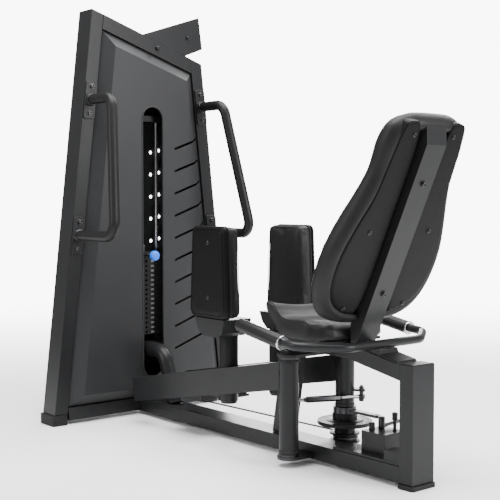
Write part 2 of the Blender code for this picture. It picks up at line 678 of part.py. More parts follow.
def build_link():
    a = Vector((PIN_L[0], PIN_L[1], LEVER_Z))
    b = Vector((PIN_R[0], PIN_R[1], LEVER_Z))
    d = (b - a).normalized()
    n = d.cross(Vector((0, 0, 1)))

    def along(bm, rows):
        skin(bm, [[p + n * (r * cos(2 * pi * k / 12)) + Vector((0, 0, r * sin(2 * pi * k / 12)))
                   for k in range(12)] for p, r in rows])
    rod = solid("tie_rod", "steel", lambda bm: along(bm, (
        (a + d * 0.006, 0.0058), (a + d * 0.070, 0.0058), (a + d * 0.072, 0.0072),
        (a + d * 0.088, 0.0108), (b - d * 0.088, 0.0108), (b - d * 0.072, 0.0072),
        (b - d * 0.070, 0.0058), (b - d * 0.006, 0.0058))), b)
    unite(rod, lambda bm: turned(bm, PIN_R[0], PIN_R[1], [
        (0.0060, LEVER_Z - 0.0160), (0.0090, LEVER_Z - 0.0140), (0.0090, LEVER_Z - 0.0072),
        (0.0120, LEVER_Z - 0.0072), (0.0120, LEVER_Z + 0.0072), (0.0075, LEVER_Z + 0.0072),
        (0.0075, LEVER_Z + 0.0181), (0.0048, LEVER_Z + 0.0181), (0.0048, LEVER_Z + 0.0269),
        (0.0090, LEVER_Z + 0.0269), (0.0090, LEVER_Z + 0.0345), (0.0055, LEVER_Z + 0.0400)], "Z", 14))
    unite(rod, lambda bm: turned(bm, PIN_L[0], PIN_L[1], [
        (0.0060, LEVER_Z - 0.0160), (0.0090, LEVER_Z - 0.0140), (0.0090, LEVER_Z - 0.0072),
        (0.0120, LEVER_Z - 0.0072), (0.0120, LEVER_Z + 0.0072), (0.0075, LEVER_Z + 0.0072),
        (0.0075, LEVER_Z + 0.0175)], "Z", 14))


def build_cam():
    piv = (HUB_X, HUB_Y, 0.30)
    n = 32

    groove, rim = CAM_R - CABLE_R - 0.0004, CAM_R + 0.0080
    solid("cam", "plastic", lambda bm: skin(bm, [
        [place("Z", u, v, w) for u, v in circle(HUB_X, HUB_Y, q, n)] for q, w in
        ((BORE_R, 0.0424), (rim, 0.0424), (rim, 0.0500), (groove, 0.0500), (groove, 0.0700),
         (rim, 0.0700), (rim, 0.0760), (0.0360, 0.0760), (0.0360, 0.0900), (DISC_R, 0.0900),
         (DISC_R, 0.1200), (0.0430, 0.1200), (0.0430, 0.1430), (BORE_R, 0.1430))],
        closed=True), piv)
    c = solid("cam_clamp", "steel",
              lambda bm: ring(bm, HUB_X, HUB_Y, 0.0400, BORE_R, "Z", 0.1434, 0.1661, 24), piv)

    def lug(bm):
        prism(bm, arc(HUB_X + 0.150, HUB_Y, 0.013, -pi / 2, pi / 2, 6)
              + [(HUB_X + 0.036, HUB_Y + 0.013), (HUB_X + 0.036, HUB_Y - 0.013)], "Z", 0.1490, 0.1590)
    unite(c, lug)
    cut(c, lambda bm: cylinder(bm, HUB_X + 0.150, HUB_Y, 0.0062, "Z", 0.14, 0.18, 12))


# ------------------------------------------------------------------ the pads
def pad_outline(inset=0.0):
    lo, hi = 0.463 + inset, 0.782 - inset
    wl, wh = 0.1075 - inset, 0.0930 - inset
    return rounded([(PAD_X - wl, lo), (PAD_X + wl, lo), (PAD_X + wh, hi), (PAD_X - wh, hi)],
                   [0.026, 0.026, 0.020, 0.020], 4)


def build_pad(side, s):
    piv = (POST_X, s * POST_Y, 0.41)

    def loops(bm, rows):
        skin(bm, [[Vector((x, s * y, z)) for x, z in pad_outline(i)] for i, y in rows])

    def shell(bm):
        loops(bm, [(0.016, PAD_BACK), (0.004, PAD_BACK - 0.006), (0.0, PAD_BACK - 0.009),
                   (0.0, PAD_SPLIT + 0.0004)])
    sh = solid(side + "_pad_shell", "shell", shell, piv)
    for z in (0.535, 0.725):
        unite(sh, lambda bm: turned(bm, PAD_X + 0.004, z, [(0.0070, s * 0.2110), (0.0070, s * 0.2150),
                                                           (0.0045, s * 0.2165)], "Y", 10))

    def cushion(bm):
        loops(bm, [(0.010, PAD_SPLIT), (0.003, PAD_SPLIT - 0.006), (0.002, PAD_FACE + 0.016),
                   (0.009, PAD_FACE + 0.005), (0.022, PAD_FACE)])
    solid(side + "_pad_cushion", "vinyl", cushion, piv)

    def bracket(bm):
        a, b = sorted((s * 0.0880, s * 0.2080))
        prism(bm, [(0.600, 0.4626), (0.765, 0.4626), (0.752, 0.4150), (0.7265, 0.4004),
                   (0.6440, 0.4004), (0.6150, 0.4270)], "Y", a, b)
    br = solid(side + "_pad_bracket", "frame", bracket, piv)

    def spigot(bm):
        turned(bm, POST_X, s * POST_Y, [(0.0200, 0.3000), (0.0240, 0.3040), (0.0240, 0.4004),
                                        (0.0325, 0.4004), (0.0325, 0.4150)], "Z", 24)
    unite(br, spigot)

    unite(br, lambda bm: turned(bm, s * 0.130, 0.4330, [
        (0.0050, 0.7450), (0.0050, 0.7720), (0.0125, 0.7720), (0.0125, 0.7860), (0.0090, 0.7900)],
        "X", 14))


# ------------------------------------------------------ seat, back, handlebar
def build_seat():
    top = [(1.192, 0.4680), (1.170, 0.4830), (1.100, 0.4850), (1.030, 0.4835), (1.004, 0.4870),
           (0.980, 0.5020), (0.960, 0.5210), (0.940, 0.5270)]
    low = [(0.926, 0.5180), (0.924, 0.4980), (0.950, 0.4640), (0.992, 0.4310), (1.050, 0.4262),
           (1.188, 0.4262), (1.2000, 0.4400)]
    prof = top + low
    rows = []
    for y in (-0.168, -0.160, -0.130, -0.070, 0.0, 0.070, 0.130, 0.160, 0.168):
        t = abs(y) / 0.160
        shrink = 0.010 if abs(y) > 0.165 else 0.0
        loop = []
        for k, (x, z) in enumerate(prof):
            front = max(0.0, min(1.0, (1.010 - x) / 0.055))
            z += front * 0.024 * min(1.0, t) ** 2
            if k < len(top):
                z += 0.008 * t * t * (1 - front) - shrink
            else:
                z += shrink * 0.6
            x += shrink * (0.5 if x < 1.0 else -0.5)
            loop.append(Vector((x, y, z)))
        rows.append(loop)
    solid("seat_cushion", "vinyl", lambda bm: skin(bm, rows))

    def plate(bm):
        prism(bm, rounded([(0.990, -0.125), (1.188, -0.125), (1.188, 0.125), (0.990, 0.125)], 0.02, 3),
              "Z", 0.4189, 0.4258)
    solid("seat_plate", "frame", plate)


def back_point(y, t, s):
    x = BK_X + s * cos(BK_A) + t * sin(BK_A)
    z = BK_Z - s * sin(BK_A) + t * cos(BK_A)
    return Vector((x, y, z))


BACK_HALF = [(0.056, 0.060), (0.050, 0.098), (0.036, 0.135), (0.008, 0.160), (-0.050, 0.171),
             (-0.125, 0.170), (-0.200, 0.189), (-0.300, 0.223), (-0.389, 0.248), (-0.477, 0.252),
             (-0.545, 0.240), (-0.596, 0.214), (-0.632, 0.165), (-0.650, 0.085)]
SHELL_HALF = [(0.042, 0.118), (0.030, 0.132), (-0.055, 0.145), (-0.200, 0.156), (-0.289, 0.192),
              (-0.400, 0.221), (-0.487, 0.222), (-0.555, 0.192), (-0.598, 0.120)]


def back_loop(s, inset):
    pts = []
    mid = -0.30
    for sgn, rows in ((1, BACK_HALF), (-1, BACK_HALF[::-1])):
        for t, w in rows:
            k = 1 - inset / 0.33
            pts.append(back_point(sgn * max(0.02, w - inset), mid + (t - mid) * k, s))
    return pts


def stud(bm, y, t, rows, n=10):
    """Round head standing on the rear of the backrest."""
    skin(bm, [[back_point(y + r * cos(2 * pi * k / n), t + r * sin(2 * pi * k / n), h)
               for k in range(n)] for r, h in rows])


def build_back():
    def cushion(bm):
        skin(bm, [back_loop(-0.0275, 0.034), back_loop(-0.034, 0.016), back_loop(-0.050, 0.0),
                  back_loop(-0.072, 0.004), back_loop(-0.090, 0.020), back_loop(-0.097, 0.050)])
    solid("back_cushion", "vinyl", cushion)

    for side, sgn in (("left", -1), ("right", 1)):
        rows = []
        for s, inset in ((-0.0270, 0.0), (-0.0060, 0.0), (0.0, 0.009)):
            inner = [(t, 0.0560 + inset * 0.5) for t in (-0.598 + inset, 0.042 - inset)]
            outer = [(t + (inset if t < -0.3 else -inset) * (1 if abs(t + 0.28) > 0.28 else 0),
                      w - inset) for t, w in SHELL_HALF]
            rows.append([back_point(sgn * w, t, s) for t, w in inner + outer])
        shell = solid(side + "_back_shell", "shell", lambda bm: skin(bm, rows))
        for y, z in ((0.088, 1.062), (0.133, 0.776), (0.135, 0.540)):
            t = (z - BK_Z) / cos(BK_A)
            unite(shell, lambda bm: stud(bm, sgn * y, t, ((0.0075, -0.0030), (0.0075, 0.0022),
                                                          (0.0050, 0.0036))))

    def spine(bm):
        rear, front = 0.0210, -0.0262
        foot_z = 0.4189
        def on(s, z):
            t = (z - BK_Z + s * sin(BK_A)) / cos(BK_A)
            return back_point(0, t, s)
        top_r = back_point(0, -0.020, rear)
        top_f = back_point(0, 0.040, front + 0.018)
        pts = [on(front, foot_z), on(rear, foot_z - 0.012), top_r, top_f, back_point(0, 0.040, front)]
        prism(bm, [(p.x, p.z) for p in pts], "Y", -0.0440, 0.0440)
    sp = solid("back_spine", "frame", spine)
    for t in (-0.145, -0.520):
        unite(sp, lambda bm: stud(bm, 0.0, t, ((0.0085, 0.0180), (0.0085, 0.0250), (0.0055, 0.0275))))

    def below(bm):
        prism(bm, [(1.10, 0.30), (1.4181, 0.30), (1.4181, 0.3755 + GAP), (1.195, 0.4185 + GAP),
                   (1.10, 0.4185 + GAP)], "Y", -0.1, 0.1)
    cut(sp, below)
    cut(sp, lambda bm: block(bm, 1.10, 1.2045, -0.1, 0.1, 0.40, 0.50))


def build_handlebar():
    def tube(bm):
        pts = [(1.1615, -0.289, 0.4363), (1.215, -0.289, 0.4310), (1.313, -0.165, 0.4260),
               (1.313, 0.165, 0.4260), (1.215, 0.289, 0.4310), (1.1615, 0.289, 0.4363)]
        sweep(bm, fillet(pts, [0.050, 0.060, 0.060, 0.050], 4), 0.0140, 12)
    solid("handlebar", "frame", tube)

    for side, s in (("left", -1), ("right", 1)):
        a, b = Vector((1.1585, s * 0.289, 0.4366)), Vector((0.9450, s * 0.289, 0.4740))
        d = (b - a).normalized()
        n = d.cross(Vector((0, 1, 0))).normalized()
        length = (b - a).length
        rows = ((0.0, 0.0215), (0.0015, 0.0238), (0.0075, 0.0238), (0.0085, 0.0205),
                (length - 0.012, 0.0215), (length - 0.004, 0.0180), (length, 0.0120))
        solid(side + "_grip", "rubber", lambda bm: skin(bm, [
            [a + d * f + n * (r * cos(2 * pi * k / 16)) + Vector((0, r * sin(2 * pi * k / 16), 0))
             for k in range(16)] for f, r in rows]))

    def seat_top(x):
        return 0.4185 - 0.19283 * (x - 1.195)

    def bracket(bm):
        prism(bm, [(1.284, seat_top(1.284) - 0.003), (1.404, seat_top(1.404) - 0.003),
                   (1.404, seat_top(1.404) + 0.0065), (1.332, seat_top(1.332) + 0.0065),
                   (1.326, 0.4116), (1.300, 0.4116), (1.294, seat_top(1.294) + 0.0065),
                   (1.284, seat_top(1.284) + 0.0065)], "Y", -0.0440, 0.0440)
    unite(bpy.data.objects["seat_beam"], bracket)


# ----------------------------------------------------------- range selector
def build_selector():
    base = solid("selector_base", "frame", lambda bm: block(
        bm, 1.128, 1.4181, -0.0440, 0.0460, BASE_TOP + GAP, 0.0740))
    unite(base, lambda bm: block(bm, 1.222, 1.322, -0.0100, 0.0900, 0.0700, 0.1390))
    unite(base, lambda bm: block(bm, 1.350, 1.4181, -0.0430, 0.0100, 0.0700, 0.1050))
    unite(base, lambda bm: turned(bm, 1.240, 0.020, [(0.0100, 0.1350), (0.0100, 0.1600),
                                                     (0.0060, 0.1640)], "Z", 12))
    cut(base, lambda bm: cylinder(bm, 1.300, 0.062, 0.0062, "Z", 0.10, 0.20, 12))
    lever_arm = solid("selector_lever", "steel", lambda bm: sweep(bm, fillet(
        [(1.252, 0.052, 0.1480), (1.252, 0.115, 0.1520), (1.262, 0.225, 0.1600)], [0.05], 3),
        0.0062, 10), (1.252, 0.052, 0.1500))
    unite(lever_arm, lambda bm: cylinder(bm, 1.252, 0.052, 0.0110, "Z", 0.1394, 0.1800, 14))
    solid("range_pin", "plastic", lambda bm: turned(bm, 1.300, 0.062, [
        (0.0058, 0.1050), (0.0058, 0.1740), (0.0095, 0.1740), (0.0095, 0.1960), (0.0070, 0.1990)],
        "Z", 14), (1.300, 0.062, 0.1394))


build_tower_frame()
build_shoes()
build_front_cover()
build_rear_cover()
build_stack()
build_stack_supports()
build_low_mounts()
build_pulleys()
build_cables()
build_tower_handles()
build_base()
for name, sgn in (("left", -1), ("right", 1)):
    build_arm(name, sgn)
    build_pad(name, sgn)
build_hub("left", -1, 0.0424, PIN_L)
build_hub("right", 1, 0.1665, PIN_R)
build_link()
build_cam()
build_seat()
build_back()
build_handlebar()
build_selector()
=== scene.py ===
# %% [markdown]
# A hip adductor and abductor machine.  The welded frame, the levers and the covers come from
# the engineering model, which is loaded here as a fixed frame.  This lesson gives each of its
# pieces a real finish, and rebuilds the round tubes and the upholstery as smooth surfaces.

# %% Load the frame and note its size
from math import atan, cos, pi, radians, sin
import bpy
import bmesh
import numpy as np
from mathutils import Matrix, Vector


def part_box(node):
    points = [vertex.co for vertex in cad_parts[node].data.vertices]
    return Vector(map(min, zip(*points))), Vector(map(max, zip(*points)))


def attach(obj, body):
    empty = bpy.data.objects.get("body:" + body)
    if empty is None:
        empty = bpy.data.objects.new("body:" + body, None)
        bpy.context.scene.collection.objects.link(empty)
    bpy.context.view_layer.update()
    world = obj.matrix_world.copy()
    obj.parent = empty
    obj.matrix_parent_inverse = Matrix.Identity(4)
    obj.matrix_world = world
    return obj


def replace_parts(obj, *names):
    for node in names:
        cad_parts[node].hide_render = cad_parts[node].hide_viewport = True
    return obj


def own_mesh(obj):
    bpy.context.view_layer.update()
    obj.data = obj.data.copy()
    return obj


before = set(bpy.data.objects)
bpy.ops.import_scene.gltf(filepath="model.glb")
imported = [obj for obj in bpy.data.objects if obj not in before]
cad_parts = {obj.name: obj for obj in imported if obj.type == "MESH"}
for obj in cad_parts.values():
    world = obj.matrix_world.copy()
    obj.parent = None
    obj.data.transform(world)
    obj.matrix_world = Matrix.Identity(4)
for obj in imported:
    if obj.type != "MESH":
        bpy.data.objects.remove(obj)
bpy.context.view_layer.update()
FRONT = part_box("left_post")[1][0]      # world X of the tower's front face
print("frame loaded:", len(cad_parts), "nodes, tower front at", round(FRONT, 4))


def spot(x, y, z):
    """A point measured from the tower's front face, as the drawings give it."""
    return Vector((x + FRONT, y, z))


# %% [markdown]
# Shader maths reads best as plain expressions.  A small class wraps a node's output socket, so
# that `0.3 + 0.1 * noise` adds the Math nodes by itself.  One method, `node`, adds any other
# kind of node.  Colours are blended with Mix, because a Math node would turn them grey.

# %% A socket that knows arithmetic
class Wire:
    def __init__(self, finish, socket):
        self.finish, self.socket = finish, socket

    def maths(self, operation, first, second=0.0):
        return self.finish.node("ShaderNodeMath", {"operation": operation}, {0: first, 1: second})

    def __add__(self, other):
        return self.maths("ADD", self, other)

    def __radd__(self, other):
        return self.maths("ADD", other, self)

    def __sub__(self, other):
        return self.maths("SUBTRACT", self, other)

    def __rsub__(self, other):
        return self.maths("SUBTRACT", other, self)

    def __mul__(self, other):
        return self.maths("MULTIPLY", self, other)

    def __rmul__(self, other):
        return self.maths("MULTIPLY", other, self)

    def __truediv__(self, other):
        return self.maths("DIVIDE", self, other)

    def __pow__(self, other):
        return self.maths("POWER", self, other)


class Finish:
    """A node material that is being put together."""

    def __init__(self, name, **fixed):
        self.material = bpy.data.materials.new(name)
        self.material.use_nodes = True
        self.tree = self.material.node_tree
        self.shader = self.tree.nodes["Principled BSDF"]
        for socket, value in fixed.items():
            self.shader.inputs[socket.replace("_", " ")].default_value = value

    def plug(self, value, socket):
        if isinstance(value, Wire):
            self.tree.links.new(value.socket, socket)
        else:
            socket.default_value = value

    def node(self, kind, settings=None, sockets=None, output=0):
        made = self.tree.nodes.new(kind)
        for key, value in (settings or {}).items():
            if key == "stops":
                ramp = made.color_ramp.elements
                while len(ramp) < len(value):
                    ramp.new(0.5)
                for stop, (place, colour) in zip(ramp, value):
                    stop.position, stop.color = place, colour
            else:
                setattr(made, key, value)
        for key, value in (sockets or {}).items():
            self.plug(value, made.inputs[key])
        return Wire(self, made.outputs[output])

    def place(self):
        return self.node("ShaderNodeTexCoord", output="Object")

    def noise(self, scale, detail=3.0, rough=0.5, where=None):
        return self.node("ShaderNodeTexNoise", {}, {"Vector": where or self.place(), "Scale": scale,
                                                    "Detail": detail, "Roughness": rough})

    def mix(self, factor, one, two):
        return self.node("ShaderNodeMix", {"data_type": "RGBA"},
                         {"Factor": factor, 6: one, 7: two}, output=2)

    def bump(self, height, strength, distance, under=None):
        sockets = {"Strength": strength, "Distance": distance, "Height": height}
        if under:
            sockets["Normal"] = under
        return self.node("ShaderNodeBump", {}, sockets)

    def out(self, **links):
        for socket, value in links.items():
            self.plug(value, self.shader.inputs[socket.replace("_", " ")])
        return self.material


print("shader helper ready")

# %% [markdown]
# The whole frame is powder coated in satin black.  Powder flows out into a very fine
# orange-peel skin, so the finish gets a tiny even bump, a slightly uneven gloss and a faint
# drift in colour.  The sheet covers carry the same paint with a flatter finish.  Their colour is
# painted lighter: painted light that stands in for the lamp light falling on them.

# %% Powder coat
def powder_coat(name, dark, light, rough, peel=0.00018):
    coat = Finish(name, Metallic=0.0, Specular_IOR_Level=0.16)
    drift = coat.noise(5.0, 2.0)
    skin = coat.noise(420.0, 2.0)
    speck = coat.noise(1600.0, 1.0)
    return coat.out(Base_Color=coat.mix(drift, dark, light),
                    Roughness=rough + 0.10 * (coat.noise(38.0, 3.0) - 0.5),
                    Normal=coat.bump(skin + 0.35 * speck, 0.35, peel))


frame_coat = powder_coat("satin_black_powder_coat", (0.0105, 0.0107, 0.0113, 1), (0.0160, 0.0163, 0.0172, 1), 0.33)
# The covers' lighter base colour is painted light: the same black paint made lighter to stand in for the lamp
# light on them.
cover_coat_painted_light = powder_coat("sheet_coat_painted_lighter", (0.0200, 0.0203, 0.0212, 1), (0.0275, 0.0280, 0.0292, 1), 0.40)
print("powder coats:", frame_coat.name, cover_coat_painted_light.name)

# %% [markdown]
# The cushions are covered in black leather-like vinyl.  Its grain is a field of small rounded
# cells with finer cells in between, which two Voronoi textures give.  The tops of the grain
# are rubbed a little shinier than the valleys.

# %% Upholstery vinyl
def vinyl(name, dark, light):
    hide = Finish(name, Specular_IOR_Level=0.22)
    cells = hide.node("ShaderNodeTexVoronoi", {"feature": "SMOOTH_F1"},
                      {"Vector": hide.place(), "Scale": 520.0, "Smoothness": 0.6})
    fine = hide.node("ShaderNodeTexVoronoi", {"feature": "F1"},
                     {"Vector": hide.place(), "Scale": 1300.0})
    wave = hide.noise(14.0, 3.0)
    grain = hide.bump(cells + 0.4 * fine, 0.45, 0.00035)
    return hide.out(Base_Color=hide.mix(hide.noise(7.0, 3.0), dark, light),
                    Roughness=0.40 + 0.18 * cells + 0.08 * (wave - 0.5),
                    Normal=hide.bump(wave, 0.25, 0.0015, grain))


seat_vinyl = vinyl("black_grained_vinyl", (0.0050, 0.0050, 0.0052, 1), (0.0085, 0.0085, 0.0090, 1))
piping_vinyl = vinyl("black_piping_vinyl", (0.0070, 0.0070, 0.0073, 1), (0.0120, 0.0120, 0.0125, 1))
print("upholstery:", seat_vinyl.name)

# %% [markdown]
# Moulded back shells have a fine spark-eroded texture.  Rubber and foam parts are duller and
# softer, so they take a coarser, rounder bump and almost no highlight.

# %% Moulded plastic, rubber and foam
def moulded(name, dark, light, rough, grain, depth, gloss=0.18):
    part = Finish(name, Specular_IOR_Level=gloss)
    tooth = part.noise(grain, 3.0, 0.6)
    return part.out(Base_Color=part.mix(part.noise(9.0, 2.0), dark, light),
                    Roughness=rough + 0.12 * (part.noise(grain * 0.1, 2.0) - 0.5),
                    Normal=part.bump(tooth, 0.5, depth))


shell_plastic = moulded("textured_shell_plastic", (0.0034, 0.0034, 0.0036, 1), (0.0056, 0.0056, 0.0059, 1),
                        0.46, 900.0, 0.0003, gloss=0.08)
black_plastic = moulded("smooth_black_plastic", (0.0060, 0.0060, 0.0063, 1), (0.0095, 0.0095, 0.0100, 1),
                        0.32, 400.0, 0.0001)
foot_rubber = moulded("black_foot_rubber", (0.010, 0.010, 0.010, 1), (0.018, 0.018, 0.018, 1), 0.72, 700.0, 0.0004)
grip_foam = moulded("black_grip_rubber", (0.0060, 0.0060, 0.0060, 1), (0.0100, 0.0100, 0.0100, 1),
                    0.40, 1100.0, 0.0004)
knob_blue = moulded("light_blue_knob_plastic", (0.020, 0.15, 0.78, 1), (0.030, 0.19, 0.86, 1), 0.34, 500.0, 0.0001)
print("plastics and rubbers ready")

# %% [markdown]
# Bright metal comes in two kinds here: polished chrome on the grip collars and the pin, and
# zinc-plated steel on the guide rods and the tie rod; the bolts are blackened steel.  Chrome is nearly a mirror with faint smudges.
# Zinc is duller and shows drawn lines, which noise stretched along one direction gives.

# %% Chrome, zinc and cast iron
def bright(name, dark, light, rough, lines):
    metal = Finish(name, Metallic=1.0)
    drawn = metal.node("ShaderNodeMapping", {}, {"Vector": metal.place(), "Scale": (lines, lines, 18.0)})
    streak = metal.noise(1.0, 4.0, 0.6, drawn)
    return metal.out(Base_Color=metal.mix(metal.noise(26.0, 3.0), dark, light),
                     Roughness=rough + 0.12 * (streak - 0.5),
                     Normal=metal.bump(streak, 0.15, 0.00012))


chrome = bright("polished_chrome", (0.40, 0.40, 0.41, 1), (0.55, 0.55, 0.56, 1), 0.18, 260.0)
zinc = bright("zinc_plated_steel", (0.30, 0.30, 0.31, 1), (0.46, 0.46, 0.47, 1), 0.34, 420.0)
dark_steel = bright("blackened_steel", (0.035, 0.035, 0.037, 1), (0.065, 0.065, 0.068, 1), 0.36, 420.0)
stack_iron = powder_coat("black_stack_enamel", (0.0070, 0.0070, 0.0073, 1), (0.0120, 0.0120, 0.0126, 1),
                         0.42, 0.0005)


def coated_cable(name):
    """Plastic-coated wire rope: the strands show as slanted ribs under the coat."""
    rope = Finish(name)
    ribs = rope.node("ShaderNodeTexWave", {"wave_type": "BANDS", "bands_direction": "DIAGONAL"},
                     {"Vector": rope.place(), "Scale": 180.0, "Distortion": 0.4})
    return rope.out(Base_Color=rope.mix(ribs, (0.010, 0.010, 0.010, 1), (0.035, 0.035, 0.036, 1)),
                    Roughness=0.42 + 0.15 * ribs, Normal=rope.bump(ribs, 0.4, 0.0003))


cable_coat = coated_cable("black_cable_coat")
print("metals:", chrome.name, zinc.name, dark_steel.name)

# %% [markdown]
# Most flat frame pieces keep their engineering mesh.  Real tube has a rounded edge of two or
# three millimetres that catches the light, so most pieces get a Weld and a narrow Bevel on their
# sharp edges, with hardened normals.  The mesh itself stays as it is.

# %% Finish the pieces that keep their mesh
def finish_node(name, material, edge=0.0):
    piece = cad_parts[name]
    piece.data.materials.clear()
    piece.data.materials.append(material)
    for face in piece.data.polygons:
        face.material_index = 0
    if edge:
        weld = piece.modifiers.new("weld", "WELD")
        weld.merge_threshold = 0.00002
        bevel = piece.modifiers.new("edge", "BEVEL")
        bevel.width, bevel.segments, bevel.limit_method = edge, 3, "ANGLE"
        bevel.angle_limit, bevel.harden_normals = radians(38), True
        bevel.use_clamp_overlap = True


KEPT = [(frame_coat, 0.0022, "left_post right_post top_member base_member main_beam rear_post "
                             "seat_beam seat_column left_arm right_arm back_spine"),
        (frame_coat, 0.0010, "wing_plate hub_bridge stack_shelf selector_base seat_plate"),
        (stack_iron, 0.0010, "rod_bracket"),
        (cover_coat_painted_light, 0.0012, "front_cover"), (cover_coat_painted_light, 0.0, "rear_cover"),
        (foot_rubber, 0.0030, "left_shoe right_shoe rear_shoe"),
        (stack_iron, 0.0, "weight_plates"), (stack_iron, 0.0015, "head_plate"),
        (zinc, 0.0, "selector_rod"), (dark_steel, 0.0008, "left_hub_shaft right_hub_shaft cam_clamp"),
        (black_plastic, 0.0, "top_pulley lower_pulley turn_pulley"),
        (frame_coat, 0.0012, "left_pad_bracket right_pad_bracket")]
for material, edge, names in KEPT:
    for node in names.split():
        finish_node(node, material, edge)
print("kept", sum(len(names.split()) for _, _, names in KEPT), "engineering meshes")

# %% [markdown]
# The new pieces are built from three simple ideas: a skin stretched over a row of loops, a bar
# swept along a path, and a profile turned about an axis.  A path's corners are rounded first,
# as a tube bender would.

# %% Mesh helpers
def settle(mesh_edit, name, material, body, smooth=35):
    bmesh.ops.recalc_face_normals(mesh_edit, faces=mesh_edit.faces)
    mesh = bpy.data.meshes.new(name)
    mesh_edit.to_mesh(mesh)
    mesh_edit.free()
    piece = bpy.data.objects.new(name, mesh)
    bpy.context.scene.collection.objects.link(piece)
    mesh.materials.append(material)
    mesh.shade_smooth()
    if smooth:
        mesh.set_sharp_from_angle(angle=radians(smooth))
    if body:
        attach(piece, body)
    return piece


def add_skin(edit, loops, closed=False):
    rings = [[edit.verts.new(point) for point in loop] for loop in loops]
    pairs = list(zip(rings, rings[1:])) + ([(rings[-1], rings[0])] if closed else [])
    count = len(rings[0])
    for low, high in pairs:
        for i in range(count):
            j = (i + 1) % count
            edit.faces.new((low[i], low[j], high[j], high[i]))
    if not closed:
        edit.faces.new(rings[0][::-1])
        edit.faces.new(rings[-1])


def add_sweep(edit, path, radius, sides=32, closed=False):
    loops, side, last = [], None, len(path) - 1
    for i, here in enumerate(path):
        back = path[i - 1] if (i or closed) else here
        ahead = path[(i + 1) % len(path)] if (i < last or closed) else here
        along = (ahead - back).normalized()
        side = side or along.cross(Vector((0.31, 0.42, 0.85))).normalized()
        side = (side - along * side.dot(along)).normalized()
        up = along.cross(side)
        r = radius(i / last) if callable(radius) else radius
        loops.append([here + side * (r * cos(2 * pi * k / sides)) + up * (r * sin(2 * pi * k / sides))
                      for k in range(sides)])
    add_skin(edit, loops, closed)


def add_turned(edit, centre, axis, profile, sides=48):
    """Profile of (radius, height) turned about an axis through the centre."""
    axis = Vector(axis).normalized()
    side = axis.orthogonal().normalized()
    up = axis.cross(side)
    add_skin(edit, [[centre + axis * h + side * (r * cos(2 * pi * k / sides))
                     + up * (r * sin(2 * pi * k / sides)) for k in range(sides)]
                    for r, h in profile])


def add_block(edit, corner, size, bevel=0.0):
    made = bmesh.ops.create_cube(edit, size=1.0)["verts"]
    for v in made:
        v.co = Vector(corner) + Vector((v.co[i] + 0.5) * size[i] for i in range(3))
    if bevel:
        edges = list({e for v in made for e in v.link_edges})
        bmesh.ops.bevel(edit, geom=edges, offset=bevel, segments=3, affect="EDGES", profile=0.6)


def bend(points, radii, steps=12):
    """Round the corners of a path, as a tube bender does."""
    points, out = [Vector(p) for p in points], [Vector(points[0])]
    for p, q, s, r in zip(points, points[1:], points[2:], radii):
        one, two = (p - q).normalized(), (s - q).normalized()
        half = one.angle(two) / 2
        centre = q + (one + two).normalized() * (r / sin(half))
        a = q + one * (r * cos(half) / sin(half)) - centre
        b = q + two * (r * cos(half) / sin(half)) - centre
        turn = a.angle(b)
        out += [centre + (a * sin((1 - k / steps) * turn) + b * sin(k / steps * turn)) / sin(turn)
                for k in range(steps + 1)]
    return out + [points[-1]]


def round_outline(corners, radii, steps=10):
    """Round the corners of a flat closed outline given as (u, v) pairs."""
    flat = [Vector((u, v, 0.0)) for u, v in corners]
    ring = bend([flat[-1]] + flat + [flat[0]], radii, steps)[1:-1]
    return [(p.x, p.y) for p in ring]


print("mesh helpers ready")

# %% [markdown]
# The camera stands behind the seat and a little to its left, at chest height, with a fairly
# long lens.  The floor is plain and pale and fades into the surround.  Soft boxes hang overhead,
# to the right and to the left, and two more behind the machine draw a bright line along its
# upper edges.  The surround looks brighter than it shines, so the black paint stays black.

# %% Camera, floor and lights
camera = bpy.data.objects.new("camera", bpy.data.cameras.new("camera"))
bpy.context.scene.collection.objects.link(camera)
bpy.context.scene.camera = camera
turn, dip = radians(50.32), radians(2.88)
camera.location = spot(3.519, -2.378, 0.880)
gaze = Vector((-sin(turn) * cos(dip), cos(turn) * cos(dip), -sin(dip)))
camera.rotation_euler = gaze.to_track_quat("-Z", "Y").to_euler()
camera.data.sensor_width, camera.data.lens = 36.0, 74.6
camera.data.shift_x, camera.data.shift_y = 0.0, 0.0


def studio_paint():
    paint = Finish("pale_studio_floor", Roughness=0.75, Specular_IOR_Level=0.2)
    reach = paint.node("ShaderNodeVectorMath", {"operation": "LENGTH"}, {0: paint.place()}, output=1)
    fade = paint.node("ShaderNodeMapRange", {"interpolation_type": "SMOOTHSTEP"},
                      {"Value": reach, "From Min": 1.3, "From Max": 5.5, "To Min": 1.0, "To Max": 0.0})
    return paint.out(Base_Color=paint.mix(paint.noise(1.5, 2.0), (0.92, 0.92, 0.92, 1), (0.95, 0.95, 0.95, 1)),
                     Alpha=fade)


bpy.ops.mesh.primitive_plane_add(size=60.0, location=(0.0, 0.0, -0.0006))
floor = bpy.context.object
floor.name = "studio_floor"
floor.data.materials.append(studio_paint())


def lamp(name, place, target, size, watts, height=None):
    light = bpy.data.lights.new(name, "AREA")
    light.shape, light.size, light.size_y, light.energy = "RECTANGLE", size, height or size, watts
    made = bpy.data.objects.new(name, light)
    made.location = place
    made.rotation_euler = (Vector(target) - Vector(place)).to_track_quat("-Z", "Y").to_euler()
    bpy.context.scene.collection.objects.link(made)
    return made


